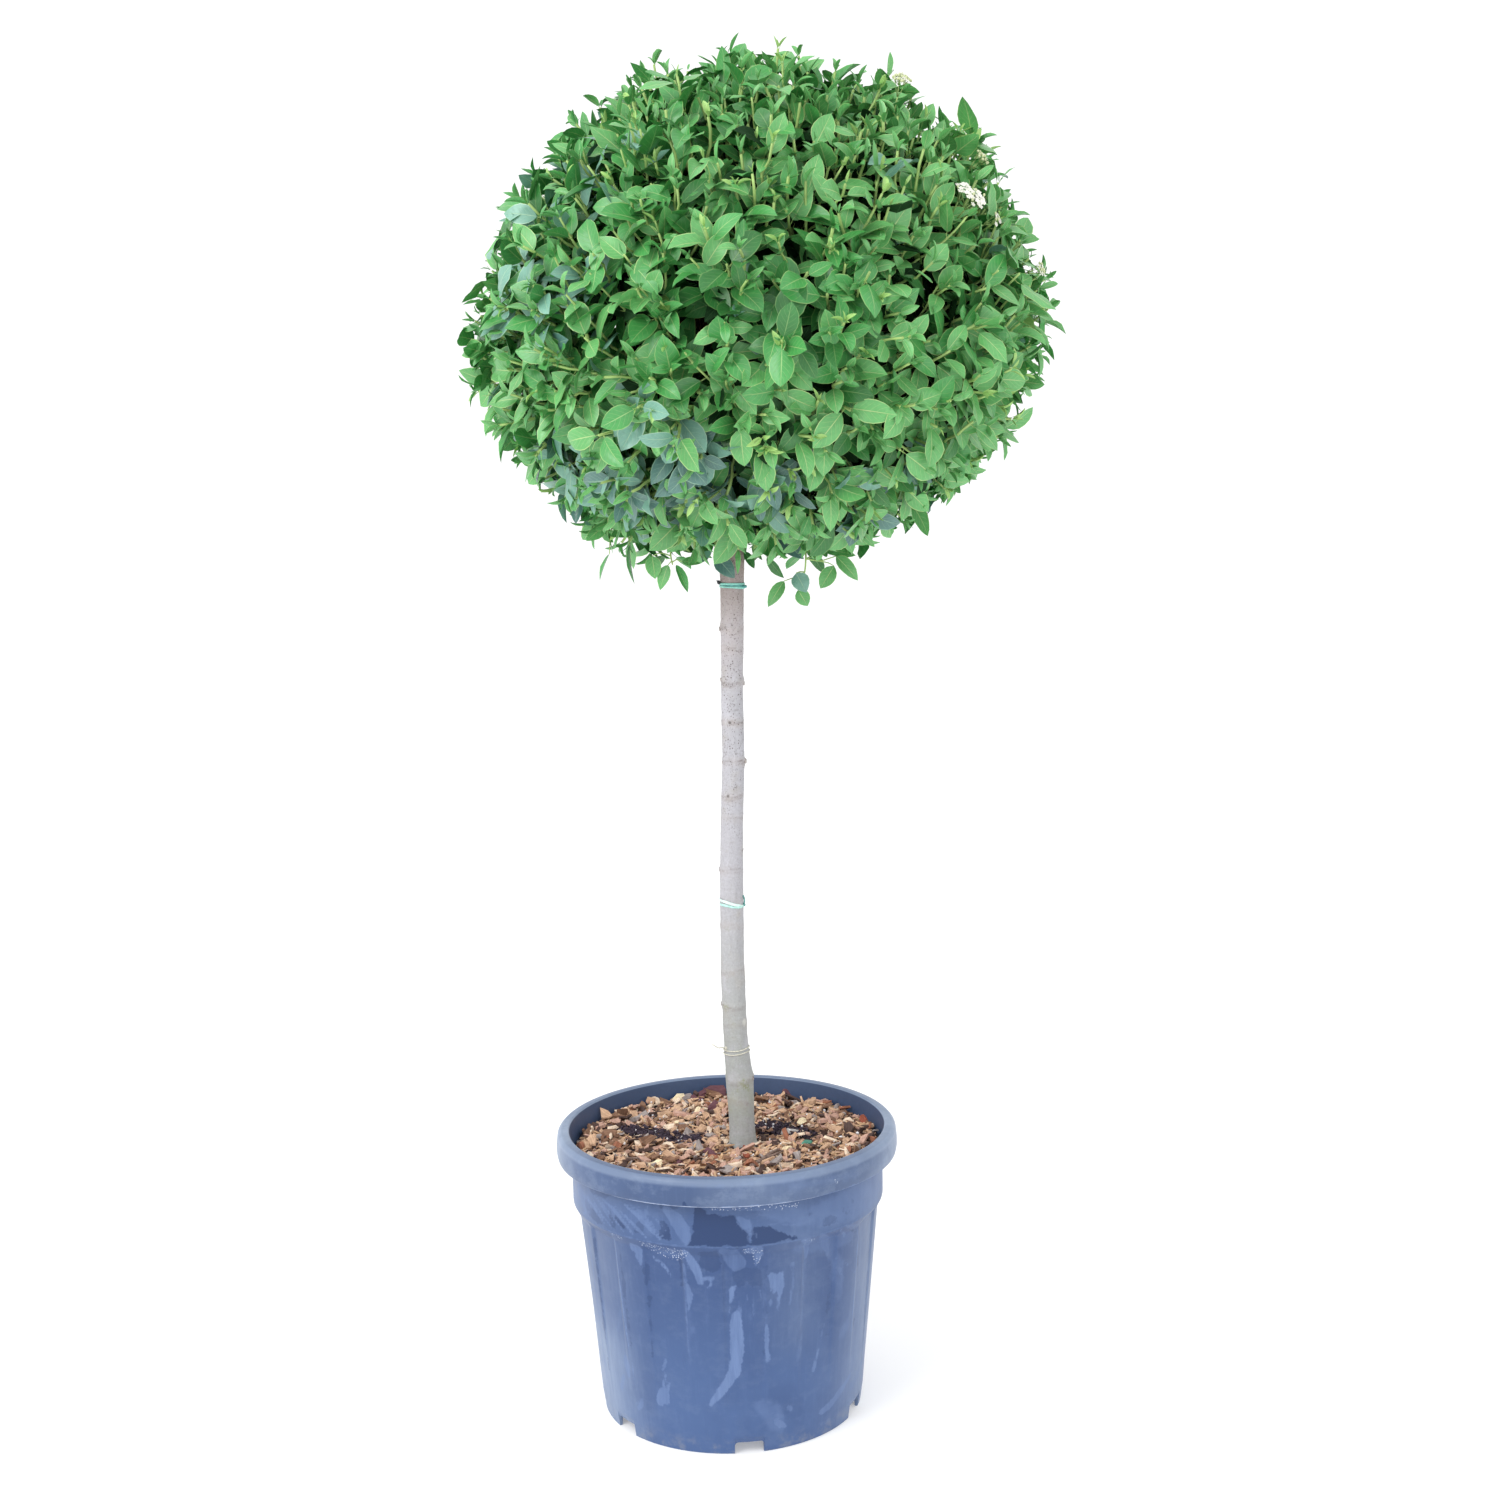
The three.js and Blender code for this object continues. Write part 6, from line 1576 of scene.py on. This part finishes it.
def bark_material():
    n = Nodes("stem_bark", 0.82, 0.2)
    h = n.height()
    along = n.noise(n.object_coords((1, 1, 0.16)), 210, 4, 0.62)
    across = n.noise(n.object_coords((0.35, 0.35, 3.2)), 130, 3, 0.6)
    blotch = n.noise(n.object_coords(), 34, 3, 0.6)
    grain = n.noise(n.object_coords(), 420, 3, 0.7)
    c = n.mix(n.band(h, 0.33, 0.44), BARK_FOOT, BARK_LOW)
    c = n.mix(n.band(h, 0.44, 0.66), c, BARK_MID)
    c = n.mix(n.band(h, 0.82, 0.93), c, BARK_HIGH)
    c = n.mix(n.band(h, 0.90, 0.985), c, lin(156, 142, 138))
    c = n.mix(n.band(h, 0.975, 1.035), c, BARK_CROWN)
    c = n.mix(n.band(along, 0.52, 0.78, 0, 0.36), c, tuple(x * 0.66 for x in BARK_MID))
    c = n.mix(n.band(across, 0.56, 0.8, 0, 0.34), c, tuple(min(1, x * 1.26) for x in BARK_MID))
    c = n.mix(n.band(blotch, 0.52, 0.72, 0, 0.42), c, lin(164, 158, 150))
    c = n.mix(n.band(blotch, 0.46, 0.30, 0, 0.38), c, lin(190, 189, 198))
    c = n.mix(n.math("MULTIPLY", n.attribute("warm"), n.band(grain, 0.3, 0.7, 0.2, 0.6)), c, lin(176, 164, 156))
    scar = n.attribute("scar")
    c = n.mix(n.math("MULTIPLY", scar, n.band(grain, 0.3, 0.7, 0.5, 0.95)), c, lin(106, 97, 95))
    # fine mottling over the whole stem
    c = n.mix(n.band(grain, 0.5, 0.72, 0.0, 0.30), c, lin(136, 130, 130))
    c = n.mix(n.band(grain, 0.46, 0.3, 0.0, 0.22), c, lin(206, 206, 210))
    # small dark pores, most of them on the upper third
    for scale, big, share, power in ((330.0, 0.29, 0.46, 0.95), (520.0, 0.30, 0.44, 0.8)):
        v = n.new("ShaderNodeTexVoronoi")
        n.put(v.inputs["Vector"], n.object_coords((1, 1, 0.8)))
        v.inputs["Scale"].default_value = scale
        some = n.band(n.noise(n.object_coords(), scale * 0.21, 2, 0.6), share, share + 0.05)
        dot = n.math("MULTIPLY", n.band(v.outputs["Distance"], big, big * 0.45), some)
        dot = n.math("MULTIPLY", dot, n.band(h, 0.58, 0.84, 0.12, 1.0))
        c = n.mix(n.math("MULTIPLY", dot, power), c, lin(90, 80, 78))
    # green film and lichen low down
    green = n.math("MULTIPLY", n.band(h, 0.50, 0.36), n.band(blotch, 0.42, 0.62, 0.0, 0.24))
    c = n.mix(green, c, lin(158, 168, 146))
    for x, y, z, r, k in ((20, -13, 384, 9, 0.55), (23.7, -12, 380, 6, 0.75), (26.5, -10, 376, 4, 0.6), (21, -14, 389, 3.4, 0.5), (14, -14, 377, 4, 0.4),
                          (19, -14, 430, 3, 0.3), (4, -9, 352, 4, 0.4), (3, -10, 476, 7, 0.45), (8, -12, 569, 6, 0.35), (12, -13, 456, 4, 0.3)):
        spot = n.math("MULTIPLY", n.near(x, y, z, r * 0.2, r), n.band(grain, 0.36, 0.62, 0.1, 1.0))
        c = n.mix(n.math("MULTIPLY", spot, k), c, lin(140, 146, 104))
    c = n.mix(n.math("MULTIPLY", n.near(24.4, -9, 456.7, 2, 6), 0.5), c, lin(214, 214, 206))
    # eyes of old buds
    for x, y, z, r, k in ((10.4, -11.4, 892.4, 1.8, 0.75), (12.6, -12.0, 893.4, 2.2, 0.85), (14.4, -12.4, 894.4, 1.5, 0.6), (15.1, -12.8, 808.6, 2.6, 0.85), (11.1, -12.6, 724.2, 2.4, 0.75), (26.6, -7.5, 659.4, 1.9, 0.85),
                          (26.2, -7.5, 679.6, 1.5, 0.6), (7.6, -12, 580.6, 3.0, 0.7), (4.9, -11.5, 517.9, 2.2, 0.5), (5.0, -11, 475.7, 2.0, 0.5),
                          (9.5, -11.5, 915.9, 2.4, 0.7), (5.4, -9, 858.6, 2.0, 0.75), (21, -11, 870, 1.5, 0.5), (19, -12, 699, 1.5, 0.4)):
        c = n.mix(n.math("MULTIPLY", n.near(x, y, z, r * 0.4, r), k * 0.92), c, lin(88, 82, 78))
    n.colour(c)
    n.bump(n.math("MULTIPLY_ADD", across, 0.5, along), 0.55, 0.0011)
    return n.m


def trunk():
    z = np.concatenate([[STEM_FOOT_Z, 307], np.arange(308.5, 1060, 1.9), [1061, 1062.6, 1064, 1065.2, STEM_TOP_Z]])
    sides = 60
    az = np.arange(sides) * 2 * math.pi / sides
    zz, aa = np.meshgrid(z, az, indexing="ij")
    r, scar, warm = stem_relief(zz, aa)
    c = stem_at(z)
    v = np.stack([c[:, None, 0] + r * np.cos(aa), c[:, None, 1] + r * np.sin(aa), zz], -1)
    m = len(z)
    i = np.arange(m - 1)[:, None] * sides + np.arange(sides)[None]
    j = np.arange(m - 1)[:, None] * sides + (np.arange(sides)[None] + 1) % sides
    s = Soup()
    n0 = m * sides
    q = np.arange(sides)
    e = (q + 1) % sides
    s.add(np.concatenate([v.reshape(-1, 3), c[:1], c[-1:] + [0, 0, 1.0]]),
          [np.stack([i, j, j + sides, i + sides], -1).reshape(-1, 4),
           np.concatenate([np.stack([e, q, np.full(sides, n0)], -1), np.stack([(m - 1) * sides + q, (m - 1) * sides + e, np.full(sides, n0 + 1)], -1)])])
    bark = bark_material()
    print("trunk", s.tris())
    place(s.build("stem", bark, with_uv=False, attrs={
        "scar": np.concatenate([scar.ravel(), [0, 0]]), "warm": np.concatenate([warm.ravel(), [0, 0]])}), "bark", "trunk")
    # stubs of shoots rubbed off the stem
    knots, worn = Soup(), []
    for az0, zk, size in ((170, 638, 1.9), (60, 698, 2.0), (-8, 764, 2.3), (40, 517, 2.2), (4, 853, 2.0), (184, 858, 1.7), (172, 478, 1.9), (178, 916, 2.0),
                          (120, 572, 2.0), (80, 454, 1.7), (60, 392, 2.4), (100, 807, 1.8), (186, 762, 1.4), (3, 660, 1.2), (-22, 389, 1.8)):
        a = az0 * RAD
        r0 = float(stem_relief(np.array([float(zk)]), np.array([a]))[0][0])
        base = stem_at(float(zk)) + np.array([math.cos(a), math.sin(a), 0]) * (r0 - 1.4)
        out = unit(np.array([math.cos(a), math.sin(a), 0.5]))
        t = np.linspace(0, 1, 5)[:, None]
        knots.add(*tube((base + out * t * (size * 0.5 + 1.1))[None], (size * np.array([2.0, 1.85, 1.55, 1.15, 0.55]))[None], 11))
        worn.append((base + out * (size * 0.5 + 1.1), size * 0.9))
    n = Nodes("knot_bark", 0.85, 0.2)
    f = n.noise(n.object_coords(), 240, 3, 0.6)
    k = n.mix(n.band(f, 0.35, 0.7), lin(176, 168, 164), lin(146, 138, 134))
    for q, size in worn:                                      # where the shoot broke off
        k = n.mix(n.math("MULTIPLY", n.near(q[0], q[1], q[2], size * 0.5, size * 1.25), 0.8), k, lin(92, 82, 78))
    n.colour(k)
    n.bump(f, 0.5, 0.0008)
    place(knots.build("stem_knots", n.m, with_uv=False), "bark")
    # boughs
    s = Soup()
    scars = []
    for bi, (_, a, e, z0, radius) in enumerate(BOUGHS):
        def way(x):
            return np.array([math.cos(x * RAD) * math.cos(a * RAD), math.cos(x * RAD) * math.sin(a * RAD), math.sin(x * RAD)])
        start = stem_at(float(z0))
        key = np.array([start, start + way(e) * 30, start + way(e) * 30 + way(min(86, e + 10)) * 40, start + way(e) * 30 + way(min(86, e + 10)) * 90])
        t = np.linspace(0, 1, 24)
        path = bezier(key[:1], key[:1] + way(e) * 34, key[3:] - way(min(86, e + 10)) * 40, key[3:], 24)[0]
        rad = radius * (1 + 0.35 * np.exp(-t * 9)) * (1 + (0.66 - 1) * t)
        k = 16
        tan = unit(np.gradient(path, axis=0))
        ref = unit(np.cross(tan, way(e + 90)))
        oth = np.cross(tan, ref)
        q = np.arange(k) * 2 * math.pi / k
        rr = rad[:, None] * (1 + 0.10 * (lattice(np.broadcast_to(q / 2 / math.pi, (24, k)), np.broadcast_to((t * 115)[:, None], (24, k)), 8, 12, 40 + bi) - 0.5)
                             + 0.08 * (lattice(np.broadcast_to(q / 2 / math.pi, (24, k)), np.broadcast_to((t * 115)[:, None], (24, k)), 16, 4, 60 + bi) - 0.5))
        v = path[:, None] + (ref[:, None] * np.cos(q)[None, :, None] + oth[:, None] * np.sin(q)[None, :, None]) * rr[..., None]
        i = np.arange(23)[:, None] * k + np.arange(k)[None]
        j = np.arange(23)[:, None] * k + (np.arange(k)[None] + 1) % k
        qq = np.arange(k)
        ee = (qq + 1) % k
        s.add(np.concatenate([v.reshape(-1, 3), path[:1], path[-1:]]),
              [np.stack([i, j, j + k, i + k], -1).reshape(-1, 4), np.concatenate([np.stack([ee, qq, np.full(k, 24 * k)], -1), np.stack([23 * k + qq, 23 * k + ee, np.full(k, 24 * k + 1)], -1)])])
    place(s.build("boughs", plain("bough_bark", lin(142, 122, 104), 0.85, 0.2, 0.32, 150, 0.0012, (1, 1, 0.5)), with_uv=False), "young_wood",
          *[b[0] for b in BOUGHS])


# --------------------------------------------------------------------- ties
def wound(z, drop, height, thick, clear, seed, start=0.0, turns=1.0, points=72):
    """a strip round the stem, lower on one side, with small creases"""
    g = np.random.default_rng(seed)
    a = start + np.linspace(0, turns * 2 * math.pi, points)
    zz = z - drop * np.cos(a) + 0.5 * np.interp(np.arange(points), np.arange(0, points, 6), g.normal(0, 0.5, len(np.arange(0, points, 6))))
    r = stem_relief(zz, a)[0] + clear + np.abs(np.interp(np.arange(points), np.arange(0, points, 4), g.normal(0, 0.22, len(np.arange(0, points, 4)))))
    c = stem_at(zz)
    path = np.stack([c[:, 0] + r * np.cos(a), c[:, 1] + r * np.sin(a), zz], -1)
    out = np.stack([np.cos(a), np.sin(a), 0.12 * np.sin(a * 3 + seed)], -1)
    h = height * (1 + 0.16 * np.interp(np.arange(points), np.arange(0, points, 5), g.normal(0, 1, len(np.arange(0, points, 5)))))
    return ribbon(path, out, np.clip(h, height * 0.6, height * 1.35), thick)


def blob(centre, size, seed, sides=12, rows=9):
    g = np.random.default_rng(seed)
    t = np.linspace(0.0, math.pi, rows + 2)[1:-1]
    a = np.arange(sides) * 2 * math.pi / sides
    tt, aa = np.meshgrid(t, a, indexing="ij")
    k = 0.8 + 0.4 * g.random(tt.shape)
    v = np.stack([np.sin(tt) * np.cos(aa) * k, np.sin(tt) * np.sin(aa) * k, np.cos(tt) * (0.9 + 0.2 * g.random(tt.shape))], -1) * np.array(size) + np.array(centre)
    i = np.arange(rows - 1)[:, None] * sides + np.arange(sides)[None]
    j = np.arange(rows - 1)[:, None] * sides + (np.arange(sides)[None] + 1) % sides
    n = rows * sides
    q = np.arange(sides)
    e = (q + 1) % sides
    return (np.concatenate([v.reshape(-1, 3), [np.array(centre) + [0, 0, size[2]]], [np.array(centre) - [0, 0, size[2]]]]),
            [np.stack([i, i + sides, j + sides, j], -1).reshape(-1, 4),
             np.concatenate([np.stack([q, e, np.full(sides, n)], -1), np.stack([(rows - 1) * sides + e, (rows - 1) * sides + q, np.full(sides, n + 1)], -1)])], None)


def ties():
    aqua = plain("tape_aqua", lin(142, 208, 194), 0.42, 0.4, 0.16, 260, 0.0005)
    teal = plain("tape_teal", lin(84, 154, 148), 0.42, 0.5, 0.3, 200, 0.0005)
    dark = plain("tape_dark", lin(40, 46, 50), 0.5, 0.5, 0.3, 200, 0.0005)
    pale = plain("tape_pale", lin(208, 230, 224), 0.4, 0.5, 0.1, 260, 0.0004)
    mint = plain("tape_mint", lin(172, 218, 208), 0.42, 0.4, 0.16, 260, 0.0004)
    twine = plain("string_pale", lin(206, 204, 190), 0.8, 0.2, 0.2, 500, 0.0004, (1, 1, 3))
    # upper: a folded tape, paler along both edges
    s = Soup()
    s.add(*wound(966.7, 0.5, 2.2, 0.6, 0.75, 71))
    s.add(*wound(962.6, 1.2, 2.0, 0.6, 0.7, 79))
    place(s.build("tie_upper_aqua", aqua, with_uv=False), "tie_tape", "tie_upper")
    s = Soup()
    s.add(*wound(964.4, 0.9, 5.2, 0.7, 0.3, 72))
    s.add(*blob((36.0, -6, 963.2), (2.8, 2.4, 1.9), 73))
    place(s.build("tie_upper_teal", teal, with_uv=False), "tie_tape")
    s = Soup()
    s.add(*blob((6.6, -6.5, 968.6), (1.9, 2.0, 2.4), 74))
    s.add(*ribbon(np.array([[7.0, -6.6, 968], [5.4, -8.0, 969.4], [4.4, -8.6, 971.0]], float), (0, -0.6, 0.8), 2.2, 0.6))
    place(s.build("tie_upper_knot", dark, with_uv=False), "tie_tape")
    # middle
    s = Soup()
    s.add(*wound(598.6, 3.6, 3.2, 0.6, 0.4, 75))
    place(s.build("tie_middle_pale", pale, with_uv=False), "tie_tape", "tie_middle")
    s = Soup()
    s.add(*wound(595.4, 1.4, 2.6, 0.6, 0.3, 76))
    place(s.build("tie_middle_mint", mint, with_uv=False), "tie_tape")
    s = Soup()
    s.add(*blob((26.4, -5.0, 595.6), (2.0, 2.0, 1.9), 77))
    s.add(*ribbon(np.array([[26.6, -5.4, 596], [27.4, -6.0, 600], [26.8, -6.6, 604], [25.6, -6.8, 607]], float), (0.3, -0.9, 0.1), 1.8, 0.5))
    place(s.build("tie_middle_knot", teal, with_uv=False), "tie_tape")
    # lower: two turns of string and a loose end
    s = Soup()
    for z0, drop, seed in ((424.0, -1.5, 3), (419.6, -1.5, 4)):
        a = np.linspace(0, 2 * math.pi, 61)
        zz = z0 - drop * np.cos(a) + 0.3 * np.sin(3 * a + seed)
        r = stem_relief(zz, a)[0] + 0.8
        c = stem_at(zz)
        s.add(*tube(np.stack([c[:, 0] + r * np.cos(a), c[:, 1] + r * np.sin(a), zz], -1)[None], np.full((1, 61), 0.72), 7))
    s.add(*tube(np.array([[[1.2, -8.2, 426.5], [-2.0, -9.6, 427.6], [-6.5, -11.0, 427.4], [-10.5, -12.0, 429.4], [-14.6, -12.6, 432.8]]]), np.array([[0.8, 0.75, 0.7, 0.65, 0.6]]), 6))
    s.add(*blob((1.4, -8.0, 426.0), (1.8, 1.8, 2.2), 78, 9, 6))
    place(s.build("tie_lower_string", twine, with_uv=False), "tie_string", "tie_lower")


camera()
studio()
container()
mulch()
trunk()
ties()
head()
